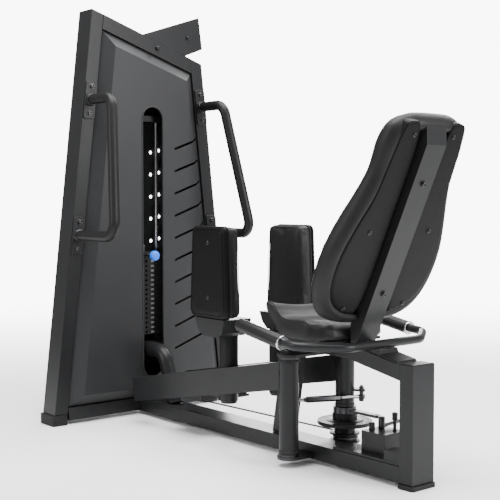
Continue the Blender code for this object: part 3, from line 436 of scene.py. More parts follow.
lamp("overhead_box", (0.2, -0.3, 4.4), (0.0, 0.0, 0.6), 3.6, 520.0)
lamp("right_box", (4.6, 1.6, 2.2), (0.4, 0.0, 0.7), 2.2, 300.0)
lamp("left_box", (-1.2, -4.8, 2.6), (0.0, 0.0, 0.9), 2.0, 110.0)
for rim in (lamp("low_rim_box", (-4.2, 3.6, 0.9), (0.2, 0.0, 0.3), 3.6, 260.0, height=1.6),
            lamp("high_rim_box", (-1.0, 3.4, 4.0), (0.2, 0.0, 0.9), 2.4, 160.0)):
    rim.visible_camera = False
world = bpy.data.worlds.new("studio")
bpy.context.scene.world = world
world.use_nodes = True
backdrop = world.node_tree.nodes["Background"]
backdrop.inputs["Color"].default_value = (1.0, 1.0, 1.0, 1.0)
ray = world.node_tree.nodes.new("ShaderNodeLightPath")
glow = world.node_tree.nodes.new("ShaderNodeMapRange")
glow.inputs["To Min"].default_value, glow.inputs["To Max"].default_value = 0.50, 9.0
world.node_tree.links.new(ray.outputs["Is Camera Ray"], glow.inputs["Value"])
world.node_tree.links.new(glow.outputs["Result"], backdrop.inputs["Strength"])
print("camera at", [round(c, 3) for c in camera.location])

# %% [markdown]
# Each side post carries an upright hand bar: a bent tube with a soft sleeve, held at both ends
# by a plate with two bolts, a short socket and a steel collar.  The bar leans out further at
# the bottom.  One function builds both, because they are mirror images.

# %% Upright hand bars on the tower
GRIP_HEIGHTS = (1.262, 0.735)


def post_middle(side, z):
    return side * (0.4378 - 0.1127 * z - 0.02775)


def add_bolt(edit, centre, axis, head, tall, washer):
    """Socket-head bolt: washer, domed head and a round recess for the key."""
    add_turned(edit, centre, axis, [(washer * 0.6, -0.001), (washer, -0.001), (washer, 0.0012),
                                    (washer * 0.96, 0.0018), (head, 0.0018), (head, tall * 0.55),
                                    (head * 0.9, tall * 0.86), (head * 0.72, tall),
                                    (head * 0.46, tall), (head * 0.44, tall * 0.5),
                                    (head * 0.1, tall * 0.45)], 24)


def tower_handle(name, side):
    body, node = "base", name + "_tower_handle"
    top, low = GRIP_HEIGHTS
    edit = bmesh.new()
    path = bend([spot(0.020, post_middle(side, top), top), spot(0.158, post_middle(side, top), top),
                 spot(0.268, post_middle(side, low), low), spot(0.020, post_middle(side, low), low)],
                [0.050, 0.050], 16)
    add_sweep(edit, path, 0.0200, 40)
    bar = settle(edit, name + "_hand_bar", grip_foam, body, 50)
    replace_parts(bar, node)
    plates, collars, bolts = bmesh.new(), bmesh.new(), bmesh.new()
    for z in GRIP_HEIGHTS:
        ends = (z - 0.075, z + 0.072)
        corners = [(post_middle(side, ends[0]) + 0.0245, ends[0]), (post_middle(side, ends[1]) + 0.0245, ends[1]),
                   (post_middle(side, ends[1]) - 0.0245, ends[1]), (post_middle(side, ends[0]) - 0.0245, ends[0])]
        ring = round_outline(corners, [0.010] * 4, 5)
        rows = [(0.0004, 0.0), (0.0050, 0.0), (0.0064, 0.0014)]
        centre = (post_middle(side, z), z)
        add_skin(plates, [[spot(x, u + (centre[0] - u) * inset / 0.05, v + (centre[1] - v) * inset / 0.07)
                           for u, v in ring] for x, inset in rows])
        hub = spot(0.0, *centre)
        add_turned(plates, hub, (1, 0, 0), [(0.0250, 0.0050), (0.0262, 0.0066), (0.0250, 0.0085),
                                            (0.0250, 0.0140), (0.0238, 0.0155)], 40)
        add_turned(collars, hub, (1, 0, 0), [(0.0208, 0.0150), (0.0236, 0.0156), (0.0240, 0.0166),
                                             (0.0240, 0.0204), (0.0236, 0.0214), (0.0208, 0.0222)], 40)
        for step in (-0.052, 0.052):
            add_bolt(bolts, spot(0.0064, post_middle(side, z + step), z + step), (1, 0, 0), 0.0088, 0.0095, 0.0115)
    for edit, part, material, slot in ((plates, "_handle_plates", frame_coat, "frame"),
                                       (collars, "_handle_collars", dark_steel, "steel"),
                                       (bolts, "_handle_bolts", dark_steel, "steel")):
        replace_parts(settle(edit, name + part, material, body), node)


tower_handle("left", -1)
tower_handle("right", 1)
print("two upright hand bars")

# %% [markdown]
# The bar behind the seat is one thin tube bent into a wide U.  A rubber grip slides over each
# end up to a bright collar.

# %% Seat hand bar and grips
edit = bmesh.new()
add_sweep(edit, bend([spot(1.1560, -0.289, 0.4370), spot(1.215, -0.289, 0.4310), spot(1.313, -0.165, 0.4260),
                      spot(1.313, 0.165, 0.4260), spot(1.215, 0.289, 0.4310), spot(1.1560, 0.289, 0.4370)],
                     [0.050, 0.070, 0.070, 0.050], 12), 0.0140, 32)
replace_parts(settle(edit, "seat_hand_bar", frame_coat, "base", 50), "handlebar")
for name, side in (("left", -1), ("right", 1)):
    start, end = spot(1.1505, side * 0.289, 0.4375), spot(0.9450, side * 0.289, 0.4740)
    axis, long = (end - start).normalized(), (end - start).length
    grip, collar = bmesh.new(), bmesh.new()
    add_turned(grip, start, axis, [(0.0150, 0.0), (0.0205, 0.0005), (0.0215, 0.003), (0.0215, long - 0.010),
                                   (0.0208, long - 0.005), (0.0185, long - 0.0015), (0.012, long)], 40)
    add_turned(collar, start, axis, [(0.0150, -0.0080), (0.0222, -0.0080), (0.0236, -0.0070), (0.0238, -0.0055),
                                     (0.0238, -0.0015), (0.0230, -0.0003), (0.0150, -0.0003)], 40)
    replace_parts(settle(grip, name + "_seat_grip", grip_foam, "base"), name + "_grip")
    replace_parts(settle(collar, name + "_grip_collar", chrome, "base"), name + "_grip")
print("seat hand bar with two grips")

# %% [markdown]
# The round tubes of the frame and of the swing arms are turned or swept again with many more
# sides, so their outline and highlights are smooth: the bent neck that joins the main beam to
# the tower, the two hub tubes, and the posts that carry the thigh pads.

# %% Round tubes
edit = bmesh.new()
add_sweep(edit, bend([spot(0.1885, 0, 0.0660), spot(0.112, 0, 0.264), spot(-0.0110, 0, 0.264)],
                     [0.070], 20), 0.0298, 48)
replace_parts(settle(edit, "bent_neck_tube", frame_coat, "base", 50), "gooseneck")

HUB_X, HUB_Y, POST_X, POST_Y = 1.008, 0.129, 0.675, 0.115
LEVER_Z, REACH, PHASE = 0.203, 0.060, 0.4363


def lever(name, side, angle):
    """Flat lever welded to the hub tube, with a hole's worth of land round its pin."""
    hub = spot(HUB_X, side * HUB_Y, 0.0)
    out = Vector((cos(angle), sin(angle), 0.0))
    across = Vector((-out.y, out.x, 0.0))
    rim = [hub + out * (0.030) - across * 0.013]
    rim += [hub + out * (REACH + 0.013 * cos(t)) + across * (0.013 * sin(t))
            for t in np.linspace(-pi / 2, pi / 2, 17)]
    rim += [hub + out * 0.030 + across * 0.013]
    edit = bmesh.new()
    add_skin(edit, [[p + Vector((0, 0, z)) for p in rim] for z in (LEVER_Z + 0.0185, LEVER_Z + 0.0265)])
    return settle(edit, name + "_lever", frame_coat, name + "_swing")


for name, side, foot in (("left", -1, 0.0424), ("right", 1, 0.1665)):
    body = name + "_swing"
    hub = spot(HUB_X, side * HUB_Y, 0.0)
    edit = bmesh.new()
    add_turned(edit, hub, (0, 0, 1), [(0.0168, foot + 0.0005), (0.0330, foot + 0.0005), (0.0345, foot + 0.002),
                                      (0.0345, foot + 0.010), (0.0325, foot + 0.0125), (0.0325, 0.3440),
                                      (0.0345, 0.3455), (0.0345, 0.3515), (0.0330, 0.3538), (0.0168, 0.3540)], 64)
    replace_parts(settle(edit, name + "_hub_tube", frame_coat, body), name + "_hub")
    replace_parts(lever(name, side, pi - PHASE if side < 0 else PHASE), name + "_hub")
    edit = bmesh.new()
    add_turned(edit, spot(POST_X, side * POST_Y, 0.0), (0, 0, 1),
               [(0.0200, 0.1562), (0.0270, 0.1570), (0.0290, 0.1590), (0.0290, 0.1635), (0.0310, 0.1645),
                (0.0325, 0.1660), (0.0325, 0.3975), (0.0318, 0.3992), (0.0247, 0.3999), (0.0246, 0.3500),
                (0.0100, 0.3490)], 64)
    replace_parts(settle(edit, name + "_post_tube", frame_coat, body), name + "_pad_post")
print("neck, hubs and pad posts turned smooth")

# %% [markdown]
# Inside the tower two bright steel rods guide the weight plates.  A blue knob on the selector
# pin is the one spot of colour, and every plate has a grey label on each side of its pin hole.

# %% Guide rods, selector pin and plate labels
for name, side in (("left", -1), ("right", 1)):
    edit = bmesh.new()
    add_turned(edit, spot(-0.051, side * 0.075, 0.0), (0, 0, 1),
               [(0.0094, 0.2710), (0.0095, 0.2712), (0.0095, 1.1894), (0.0094, 1.1895)], 32)
    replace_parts(settle(edit, name + "_rod", zinc, "base"), name + "_guide_rod")
HEAD_Z = 0.320 + 16 * 0.0194
knob, shank = bmesh.new(), bmesh.new()
centre = spot(0.0, 0.0, HEAD_Z + 0.0155)
add_turned(shank, centre, (1, 0, 0), [(0.0030, -0.0405), (0.0055, -0.0385), (0.0055, 0.0300)], 24)
add_turned(knob, centre, (1, 0, 0), [(0.0060, 0.0285), (0.0105, 0.0290), (0.0120, 0.0305), (0.0135, 0.0335),
                                     (0.0168, 0.0365), (0.0196, 0.0405), (0.0205, 0.0450), (0.0203, 0.0510),
                                     (0.0190, 0.0560), (0.0160, 0.0598), (0.0110, 0.0616), (0.0030, 0.0620)], 56)
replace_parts(settle(knob, "selector_knob", knob_blue, "pin"), "selector_pin")
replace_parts(settle(shank, "selector_shank", chrome, "pin"), "selector_pin")


def label_card():
    """Pale printed label: light stock with faint ruled ticks instead of lettering."""
    card = Finish("pale_plate_label", Roughness=0.5)
    tick = card.node("ShaderNodeTexWave", {"bands_direction": "Y"}, {"Vector": card.place(), "Scale": 160.0})
    return card.out(Base_Color=card.mix(tick ** 3.0, (0.115, 0.115, 0.120, 1), (0.055, 0.055, 0.058, 1)),
                    Roughness=0.45 + 0.1 * card.noise(90.0))


paper = label_card()
stack, crown = bmesh.new(), bmesh.new()
for k in range(17):
    edit, low = (stack, 0.320 + k * 0.0194 + 0.0042) if k < 16 else (crown, HEAD_Z + 0.0100)
    for y in (-0.040, 0.022):
        add_block(edit, spot(-0.0124, y, low + 0.0012), (0.0005, 0.015, 0.0076))
settle(stack, "plate_labels", paper, "base")
settle(crown, "head_label", paper, "weight")
print("stack dressed")

# %% [markdown]
# The front cover is pressed sheet.  Its slot has a rolled lip that stands a few millimetres
# proud, which is a small round bead swept along the slot's outline.

# %% Rolled lip of the slot
SLOT_Y, SLOT_R, SLOT_LOW, SLOT_HIGH, COVER_X = 0.006, 0.0500, 0.200, 1.198, 0.0290
lip = [spot(COVER_X, SLOT_Y + SLOT_R * cos(a), SLOT_HIGH + SLOT_R * sin(a)) for a in np.linspace(0, pi, 25)]
lip += [spot(COVER_X, SLOT_Y - SLOT_R, z) for z in np.linspace(SLOT_HIGH, SLOT_LOW, 12)[1:-1]]
lip += [spot(COVER_X, SLOT_Y - SLOT_R * cos(a), SLOT_LOW - SLOT_R * sin(a)) for a in np.linspace(0, pi, 25)]
lip += [spot(COVER_X, SLOT_Y + SLOT_R, z) for z in np.linspace(SLOT_LOW, SLOT_HIGH, 12)[1:-1]]
edit = bmesh.new()
add_sweep(edit, lip, 0.0032, 12, closed=True)
settle(edit, "slot_lip", cover_coat_painted_light, "base", 60)
print("slot lip with", len(lip), "points")

# %% [markdown]
# Two wire ropes drive the stack.  One hangs straight from the top wheel to the stack head.
# The other runs down behind the stack, under the low wheels and back along the base to the drum.

# %% Wire ropes
ROPE_X, ROPE_R, ROPE_LOW, ROPE_TOP = -0.051, 0.0032, 0.7090, 1.3115
TOP_WHEEL, LOW_WHEEL = (0.090, 1.312, 0.090), (0.150, 0.110, 0.030)      # y, z and rope radius


def arc(centre, radius, first, last, steps, lift):
    return [lift(centre[0] + radius * cos(a), centre[1] + radius * sin(a))
            for a in np.linspace(first, last, steps)]


edit = bmesh.new()
add_sweep(edit, [spot(ROPE_X, 0.0, z) for z in np.linspace(ROPE_LOW, ROPE_TOP, 12)], ROPE_R, 16)
add_turned(edit, spot(ROPE_X, 0.0, 0.0), (0, 0, 1),
           [(0.0034, 0.7092), (0.0062, 0.7095), (0.0062, 0.7380), (0.0036, 0.7400)], 20)
rope = settle(edit, "lift_rope", cable_coat, "base")
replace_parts(rope, "lift_cable")
top_end = spot(ROPE_X, 0.0, 1.3116)
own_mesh(rope)
print("lift rope", round(ROPE_TOP - ROPE_LOW, 3), "m long")

# %% Drive rope
run = arc(TOP_WHEEL[:2], TOP_WHEEL[2], pi, 0.0, 36, lambda y, z: spot(ROPE_X, y, z))
run += arc(LOW_WHEEL[:2], LOW_WHEEL[2], 0.0, -pi / 2, 14, lambda y, z: spot(-0.071, y, z))
run += arc((-0.047, 0.0845), 0.024, pi, 1.535 * pi, 12, lambda x, y: spot(x, y, 0.080))
run += arc((HUB_X, HUB_Y), 0.044, 0.535 * pi, -0.40 * pi, 28, lambda x, y: spot(x, y, 0.060))
edit = bmesh.new()
add_sweep(edit, run, ROPE_R, 16)
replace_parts(settle(edit, "drive_rope", cable_coat, "base", 60), "drive_cable")
print("drive rope laid over", len(run), "points")

# %% [markdown]
# A turnbuckle rod ties the two levers together, so both arms open by the same angle.  Its thin
# ends are bright, the long coupling nut in the middle is dark, and an eye sits on each lever pin,
# with a bolt through the far one.

# %% Tie rod
near, far = (spot(HUB_X - REACH * cos(PHASE), -HUB_Y + REACH * sin(PHASE), LEVER_Z),
             spot(HUB_X + REACH * cos(PHASE), HUB_Y + REACH * sin(PHASE), LEVER_Z))
along = (far - near).normalized()
length = (far - near).length
rod, nut, eyes = bmesh.new(), bmesh.new(), bmesh.new()
add_turned(rod, near, along, [(0.0020, 0.006), (0.0058, 0.007),
                              (0.0058, length - 0.007), (0.0020, length - 0.006)], 28)
half_nut = [(0.0060, 0.0700), (0.0072, 0.0705), (0.0076, 0.0740), (0.0076, 0.0780), (0.0100, 0.0800),
            (0.0108, 0.0830)]
add_turned(nut, near, along, half_nut + [(r, length - h) for r, h in half_nut[::-1]], 6)
for pin, bolted in ((near, False), (far, True)):
    add_turned(eyes, pin, (0, 0, 1), [(0.0050, -0.0160), (0.0082, -0.0155), (0.0090, -0.0140), (0.0090, -0.0078),
                                      (0.0112, -0.0074), (0.0124, -0.0050), (0.0128, 0.0), (0.0124, 0.0050),
                                      (0.0112, 0.0074), (0.0075, 0.0078), (0.0075, 0.0174)]
               + ([(0.0048, 0.0180), (0.0048, 0.0270), (0.0088, 0.0272), (0.0090, 0.0280), (0.0090, 0.0330),
                   (0.0084, 0.0343), (0.0055, 0.0346), (0.0053, 0.0390), (0.0040, 0.0398)] if bolted else
                  [(0.0040, 0.0176)]), 28)
for edit, name, material in ((rod, "tie_rod_shaft", zinc), (nut, "tie_rod_turnbuckle", dark_steel),
                             (eyes, "tie_rod_eyes", dark_steel)):
    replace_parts(settle(edit, name, material, "link"), "tie_rod")
print("tie rod", round(length, 4), "m between pins")

# %% [markdown]
# The drum at the foot of the far hub winds the drive rope, and the wide disc above it is the
# angle plate that the range pin locks.  Both are one turned casting.

# %% Drum and angle disc
edit = bmesh.new()
profile = [(0.0168, 0.0426), (0.0505, 0.0424), (0.0520, 0.0432), (0.0520, 0.0490), (0.0512, 0.0500),
           (0.0420, 0.0516), (0.0408, 0.0530), (0.0404, 0.0600), (0.0408, 0.0670), (0.0420, 0.0684),
           (0.0512, 0.0700), (0.0520, 0.0708), (0.0520, 0.0752), (0.0505, 0.0760), (0.0368, 0.0762),
           (0.0360, 0.0775), (0.0360, 0.0990), (0.0372, 0.1004), (0.0500, 0.1010), (0.0930, 0.1050),
           (0.0945, 0.1064), (0.0945, 0.1166), (0.0930, 0.1180), (0.0640, 0.1180), (0.0620, 0.1200),
           (0.0450, 0.1202), (0.0430, 0.1216), (0.0430, 0.1415), (0.0420, 0.1428), (0.0168, 0.1430)]
add_turned(edit, spot(HUB_X, HUB_Y, 0.0), (0, 0, 1), profile, 72)
cast = settle(edit, "drum_casting", stack_iron, "right_swing")
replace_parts(cast, "cam")
holes = bmesh.new()
for k in range(14):
    a = radians(-70 + 22 * k)
    add_turned(holes, spot(HUB_X + 0.082 * cos(a), HUB_Y + 0.082 * sin(a), 0.1172), (0, 0, 1),
               [(0.0020, 0.0), (0.0062, 0.0008), (0.0062, 0.0011), (0.0048, 0.0012),
                (0.0046, 0.0002), (0.002, 0.0001)], 20)
settle(holes, "angle_disc_bushes", dark_steel, "right_swing")
print("drum and disc turned")

# %% [markdown]
# The range selector beside the rear post has a bent lever and a spring pin.

# %% Selector lever and pin
edit = bmesh.new()
add_sweep(edit, bend([spot(1.252, 0.052, 0.1480), spot(1.252, 0.115, 0.1520), spot(1.262, 0.2235, 0.1600)],
                     [0.06], 10), 0.0060, 20)
add_turned(edit, spot(1.252, 0.052, 0.0), (0, 0, 1),
           [(0.0090, 0.1394), (0.0108, 0.1402), (0.0110, 0.1420), (0.0110, 0.1770), (0.0100, 0.1795),
            (0.0060, 0.1800)], 28)
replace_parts(settle(edit, "range_lever", dark_steel, "stop_lever", 50), "selector_lever")
edit = bmesh.new()
add_turned(edit, spot(1.300, 0.062, 0.0), (0, 0, 1),
           [(0.0040, 0.1052), (0.0058, 0.1065), (0.0058, 0.1738), (0.0088, 0.1742), (0.0095, 0.1755),
            (0.0095, 0.1800), (0.0088, 0.1820), (0.0088, 0.1850), (0.0095, 0.1870), (0.0095, 0.1950),
            (0.0085, 0.1980), (0.0060, 0.1990)], 32)
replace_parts(settle(edit, "range_pin_knob", black_plastic, "stop_pin"), "range_pin")
print("range selector built")

# %% [markdown]
# The two thigh pads, the seat and the backrest are foam under stretched vinyl.  Foam pushes the
# cover outwards while the board at its back and the seams hold it, so the middle swells and
# the edges pull in.  Cloth simulation gives exactly that: the form is turned into an even net,
# the part on the board is pinned, and a little inner pressure swells the rest.  The swell is
# capped, so the cushion stays the size of its cover.

# %% Inflating a cushion
def evaluated(piece):
    shape = bpy.data.meshes.new_from_object(piece.evaluated_get(bpy.context.evaluated_depsgraph_get()))
    piece.modifiers.clear()
    piece.data = shape
    return np.array([v.co for v in shape.vertices])


def inflate(edit, name, material, body, held, cap, voxel=0.005, pressure=4.0):
    bmesh.ops.recalc_face_normals(edit, faces=edit.faces)
    bmesh.ops.triangulate(edit, faces=[f for f in edit.faces if len(f.verts) > 4])
    piece = settle(edit, name, material, None, 0)
    net = piece.modifiers.new("net", "REMESH")
    net.mode, net.voxel_size, net.use_smooth_shade = "VOXEL", voxel, True
    start = evaluated(piece)
    group = piece.vertex_groups.new(name="board")
    group.add([i for i, p in enumerate(start) if held(p)], 1.0, "REPLACE")
    cloth = piece.modifiers.new("cover", "CLOTH")
    cover = cloth.settings
    cover.quality, cover.mass = 5, 0.3
    cover.tension_stiffness = cover.compression_stiffness = 12.0
    cover.shear_stiffness, cover.bending_stiffness = 8.0, 4.0
    cover.use_pressure, cover.uniform_pressure_force = True, pressure
    cover.vertex_group_mass, cover.effector_weights.gravity = "board", 0.0
    cloth.point_cache.frame_start, cloth.point_cache.frame_end = 1, 20
    for frame_number in range(1, 21):
        bpy.context.scene.frame_set(frame_number)
    moved = evaluated(piece) - start
    far = np.maximum(np.linalg.norm(moved, axis=1, keepdims=True), 1e-9)
    for v, p in zip(piece.data.vertices, start + moved / far * cap * np.tanh(far / cap)):
        v.co = p
    bpy.context.scene.frame_set(1)
    piece.data.materials.clear()
    piece.data.materials.append(material)
    relax = bmesh.new()
    relax.from_mesh(piece.data)
    for _ in range(3):
        bmesh.ops.smooth_vert(relax, verts=relax.verts, factor=0.5,
                              use_axis_x=True, use_axis_y=True, use_axis_z=True)
    relax.to_mesh(piece.data)
    relax.free()
    piece.data.shade_smooth()
    piece.modifiers.new("fine", "SUBSURF").levels = 1
    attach(piece, body)
    print(name, len(start), "points in the net")
    return piece


# %% [markdown]
# Piping is a thin cord in a vinyl sleeve, sewn into a seam.  It has to lie exactly on the
# swollen cushion, so each of its points is dropped onto the cushion's surface first.

# %% Piping laid on a cushion
def laid_on(piece, points, rise=0.0):
    """Nearest point of the cushion for each given point, pushed out by the cord's half width."""
    bpy.context.view_layer.update()
    out = []
    for p in points:
        _, near_point, normal, _ = piece.closest_point_on_mesh(p)
        out.append(near_point + normal * rise)
    return out


def eased(points, rounds=3):
    """Closed path with its small kinks averaged away."""
    for _ in range(rounds):
        points = [(points[i - 1] + points[i] * 2 + points[(i + 1) % len(points)]) / 4
                  for i in range(len(points))]
    return points


print("piping helpers ready")

# %% [markdown]
# Thigh pad: the outline is a tall rounded trapezium.  The cushion is glued to a board that sits
# in a moulded shell, and a cord of piping covers the joint.  The left one is simulated and the
# right one is its mirror image.

# %% Thigh pads
PAD_X = 0.676


def pad_ring(inset, y, steps=9):
    low, high = 0.463 + inset, 0.782 - inset
    wide, narrow = 0.1075 - inset, 0.0930 - inset
    corners = [(PAD_X - wide, low), (PAD_X + wide, low), (PAD_X + narrow, high), (PAD_X - narrow, high)]
    return [spot(x, y, z) for x, z in round_outline(corners, [0.026, 0.026, 0.020, 0.020], steps)]


def mirrored(points, side):
    return [Vector((p.x, side * p.y, p.z)) for p in points]


def pad_cushion_form():
    edit = bmesh.new()
    rows = [(0.0080, -0.1952), (0.0045, -0.1925), (0.0030, -0.1880), (0.0025, -0.1520), (0.0060, -0.1450),
            (0.0140, -0.1405), (0.0300, -0.1395)]
    add_skin(edit, [pad_ring(inset, y) for inset, y in rows])
    return edit


left_pad_foam = inflate(pad_cushion_form(), "left_thigh_cushion", seat_vinyl, "left_pad",
                        lambda p: p[1] < -0.1895, 0.0045, pressure=3.0)
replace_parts(left_pad_foam, "left_pad_cushion")
twin = left_pad_foam.data.copy()
for v in twin.vertices:
    v.co.y = -v.co.y
twin.flip_normals()
right_pad_foam = bpy.data.objects.new("right_thigh_cushion", twin)
bpy.context.scene.collection.objects.link(right_pad_foam)
right_pad_foam.modifiers.new("fine", "SUBSURF").levels = 1
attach(right_pad_foam, "right_pad")
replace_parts(right_pad_foam, "right_pad_cushion")

for name, side in (("left", -1), ("right", 1)):
    body = name + "_pad"
    edit = bmesh.new()
    add_sweep(edit, mirrored(pad_ring(0.0022, 0.1885), side), 0.0030, 14, closed=True)
    settle(edit, name + "_thigh_piping", piping_vinyl, body, 0)
    foam = left_pad_foam if side < 0 else right_pad_foam
    edit = bmesh.new()
    add_sweep(edit, eased(laid_on(foam, mirrored(pad_ring(0.0045, 0.1425), side))), 0.0012, 8, closed=True)
    settle(edit, name + "_thigh_seam", piping_vinyl, body, 0)
    edit = bmesh.new()
    rows = [(0.0600, 0.2130), (0.0300, 0.2130), (0.0150, 0.2130), (0.0138, 0.2124), (0.0132, 0.2102),
            (0.0122, 0.2100), (0.0112, 0.2116), (0.0090, 0.2112), (0.0045, 0.2082), (0.0012, 0.2040),
            (0.0, 0.2000), (0.0, 0.1975), (0.0010, 0.1960), (0.0035, 0.1958)]
    add_skin(edit, [mirrored(pad_ring(inset, y), side) for inset, y in rows])
    shell = settle(edit, name + "_thigh_shell", shell_plastic, body, 50)
    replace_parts(shell, name + "_pad_shell")
    screws = bmesh.new()
    for z in (0.535, 0.725):
        add_bolt(screws, spot(PAD_X + 0.004, side * 0.2124, z), (0, side, 0), 0.0060, 0.0036, 0.0078)
    settle(screws, name + "_thigh_shell_screws", dark_steel, body)
print("thigh pads done")

# %% [markdown]
# The seat is a saddle: a flat base, a nose that rises towards the knees with a rolled front
# lip, and sides that lift a little.  Piping runs round the top edge where the top panel is sewn
# to the side band.

# %% Seat cushion
TOP = [(1.190, 0.4640), (1.176, 0.4770), (1.150, 0.4810), (1.100, 0.4815), (1.030, 0.4805), (1.004, 0.4845),
       (0.981, 0.4990), (0.961, 0.5170), (0.944, 0.5225)]
LOW = [(0.931, 0.5165), (0.929, 0.4990), (0.953, 0.4660), (0.994, 0.4335), (1.050, 0.4264), (1.186, 0.4264),
       (1.1965, 0.4380)]


def seat_point(x, y, z, upper, shrink=0.0):
    t = abs(y) / 0.160
    front = max(0.0, min(1.0, (1.010 - x) / 0.055))
    x -= max(0.0, x - 1.08) * 0.55 * max(0.0, (abs(y) - 0.08) / 0.086) ** 2      # rounded rear corners
    z += front * 0.024 * min(1.0, t) ** 2
    z += 0.008 * t * t * (1 - front) - shrink if upper else shrink * 0.6
    return spot(x + shrink * (0.5 if x < 1.0 else -0.5), y, z)


edit = bmesh.new()
rows = [(-0.1660, 0.010), (-0.1645, 0.005), (-0.1600, 0.0015)]
rows += [(y, 0.0) for y in (-0.1300, -0.1000, -0.0700, -0.035, 0.0)]
rows += [(-y, shrink) for y, shrink in rows[-2::-1]]
add_skin(edit, [[seat_point(x, y, z, k < len(TOP), shrink) for k, (x, z) in enumerate(TOP + LOW)]
                for y, shrink in rows])
seat = inflate(edit, "seat_foam", seat_vinyl, "base", lambda p: p[2] < 0.4300, 0.0045, pressure=3.0)
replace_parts(seat, "seat_cushion")

# %% [markdown]
# The seat's piping runs up both sides of the saddle and over the front lip.

# %% Seat piping
for side in (-1, 1):
    line = [seat_point(x, side * 0.158, z, True) for x, z in TOP]
    line += [seat_point(x, side * 0.158, z, False) for x, z in LOW[:4]]
    dense = [a.lerp(b, k / 6) for a, b in zip(line, line[1:]) for k in range(6)] + [line[-1]]
    placed = laid_on(seat, dense, 0.0006)
    for _ in range(4):
        inner = [(a + b * 2 + c) / 4 for a, b, c in zip(placed, placed[1:], placed[2:])]
        placed = [placed[0]] + inner + [placed[-1]]
    edit = bmesh.new()
    add_sweep(edit, placed, 0.0026, 12)
    settle(edit, ("left" if side < 0 else "right") + "_seat_piping", piping_vinyl, "base", 0)
print("seat piped")

# %% [markdown]
# The backrest cushion is a shield: wide over the hips, waisted in the middle and rounded at the
# head.  It is thick foam on a board, so its front swells the most.  A vinyl band wraps its sides
# round to the rear, where two moulded shells cover the board on either side of the steel spine,
# with a shadow gap along it.

# %% Backrest
BACK_X, BACK_Z = 1.504, 1.062
LEAN = atan(0.4636)
BACK_HALF = [(0.056, 0.060), (0.050, 0.098), (0.036, 0.135), (0.008, 0.160), (-0.050, 0.171),
             (-0.125, 0.170), (-0.200, 0.189), (-0.300, 0.223), (-0.389, 0.248), (-0.477, 0.252),
             (-0.545, 0.240), (-0.596, 0.214), (-0.632, 0.165), (-0.650, 0.085)]
SHELL_HALF = [(0.042, 0.118), (0.030, 0.132), (-0.055, 0.145), (-0.200, 0.156), (-0.289, 0.192),
              (-0.400, 0.221), (-0.487, 0.222), (-0.555, 0.192), (-0.598, 0.120)]


def back_spot(y, t, s):
    """y across, t up along the lean, s out towards the rear."""
    return spot(BACK_X + s * cos(LEAN) + t * sin(LEAN), y, BACK_Z - s * sin(LEAN) + t * cos(LEAN))


def smooth_ring(points, rounds=2):
    """Chaikin's corner cutting: each side of the outline is cut at a quarter and three quarters."""
    for _ in range(rounds):
        points = [p for a, b in zip(points, points[1:] + points[:1])
                  for p in ((a[0] * 0.75 + b[0] * 0.25, a[1] * 0.75 + b[1] * 0.25),
                            (a[0] * 0.25 + b[0] * 0.75, a[1] * 0.25 + b[1] * 0.75))]
    return points


def back_ring(s, inset):
    half = [(w - inset, -0.30 + (t + 0.30) * (1 - inset / 0.33)) for t, w in BACK_HALF]
    ring = smooth_ring(half + [(-y, t) for y, t in half[::-1]])
    return [back_spot(y, t, s) for y, t in ring]


edit = bmesh.new()
add_skin(edit, [back_ring(s, inset) for s, inset in (
    (-0.0278, 0.026), (-0.0300, 0.016), (-0.0350, 0.009), (-0.0460, 0.005),
    (-0.0600, 0.004), (-0.0720, 0.008), (-0.0820, 0.020), (-0.0870, 0.045))])
board = back_spot(0.0, 0.0, -0.0330)
rear = Vector((cos(LEAN), 0.0, -sin(LEAN)))
back = inflate(edit, "back_foam", seat_vinyl, "base",
               lambda p: (Vector(p) - board).dot(rear) > 0.0, 0.0090, 0.0065)
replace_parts(back, "back_cushion")
edit = bmesh.new()
add_skin(edit, [back_ring(s, inset) for s, inset in (
    (-0.0080, 0.036), (-0.0040, 0.030), (-0.0032, 0.025), (-0.0050, 0.019), (-0.0110, 0.012), (-0.0200, 0.006),
    (-0.0310, 0.002), (-0.0430, 0.000), (-0.0520, 0.003), (-0.0520, 0.030), (-0.0300, 0.036))], closed=True)
settle(edit, "back_side_band", seat_vinyl, "base", 60)
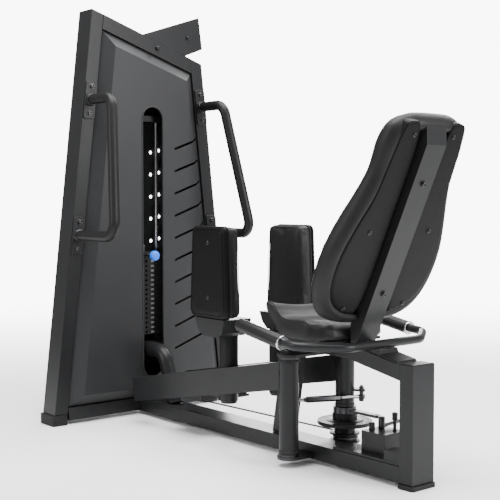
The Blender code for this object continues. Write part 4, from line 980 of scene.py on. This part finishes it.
for name, side in (("left", -1), ("right", 1)):
    outer = [(w, t) for t, w in SHELL_HALF]
    inner = [(0.0562, -0.598), (0.0562, -0.300), (0.0562, 0.042)]
    ring = smooth_ring(outer + inner, 3)
    mid = (0.125, -0.30)
    edit = bmesh.new()
    rows = [(-0.0268, 0.004), (-0.0262, 0.0005), (-0.0240, 0.0), (-0.0060, 0.0), (-0.0030, 0.0008),
            (-0.0010, 0.0026), (0.0, 0.0060), (0.0002, 0.0120), (0.0002, 0.060)]
    loops = []
    for s, inset in rows:
        loops.append([back_spot(side * (mid[0] + (y - mid[0]) * (1 - inset / 0.085)),
                                mid[1] + (t - mid[1]) * (1 - inset / 0.320), s) for y, t in ring])
    add_skin(edit, loops)
    shell = settle(edit, name + "_back_cover", shell_plastic, "base", 50)
    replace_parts(shell, name + "_back_shell")
    screws = bmesh.new()
    for y, z in ((0.088, 1.062), (0.133, 0.776), (0.135, 0.540)):
        t = (z - BACK_Z) / cos(LEAN)
        add_bolt(screws, back_spot(side * y, t, 0.0002), rear, 0.0058, 0.0042, 0.0080)
    settle(screws, name + "_back_cover_screws", dark_steel, "base")
print("backrest done")

# %% [markdown]
# Small fittings finish the machine: the big bolts that hold the backrest to its spine, the
# screws of the covers, and the lock knobs below the thigh pads.

# %% Bolts and knobs
edit = bmesh.new()
for t in (-0.145, -0.520):
    add_bolt(edit, back_spot(0.0, t, 0.0208), rear, 0.0090, 0.0085, 0.0125)
settle(edit, "spine_bolts", dark_steel, "base")
edit = bmesh.new()
cover_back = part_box("rear_cover")[0].x
for k in range(6):
    z = 0.14 + 0.24 * k
    for side in (-1, 1):
        reach = 0.4378 - 0.1127 * z - 0.0700
        if z < 1.40 or side < 0:
            add_bolt(edit, Vector((cover_back + 0.0010, side * reach, z)), (-1, 0, 0), 0.0055, 0.0030, 0.0075)
settle(edit, "rear_cover_screws", dark_steel, "base")
for name, side in (("left", -1), ("right", 1)):
    edit = bmesh.new()
    add_turned(edit, spot(0.0, side * 0.130, 0.4330), (1, 0, 0),
               [(0.0050, 0.7600), (0.0122, 0.7722), (0.0132, 0.7745), (0.0132, 0.7830), (0.0122, 0.7868),
                (0.0095, 0.7895), (0.0030, 0.7905)], 36)
    settle(edit, name + "_lock_knob", black_plastic, name + "_pad")
print("fittings done")
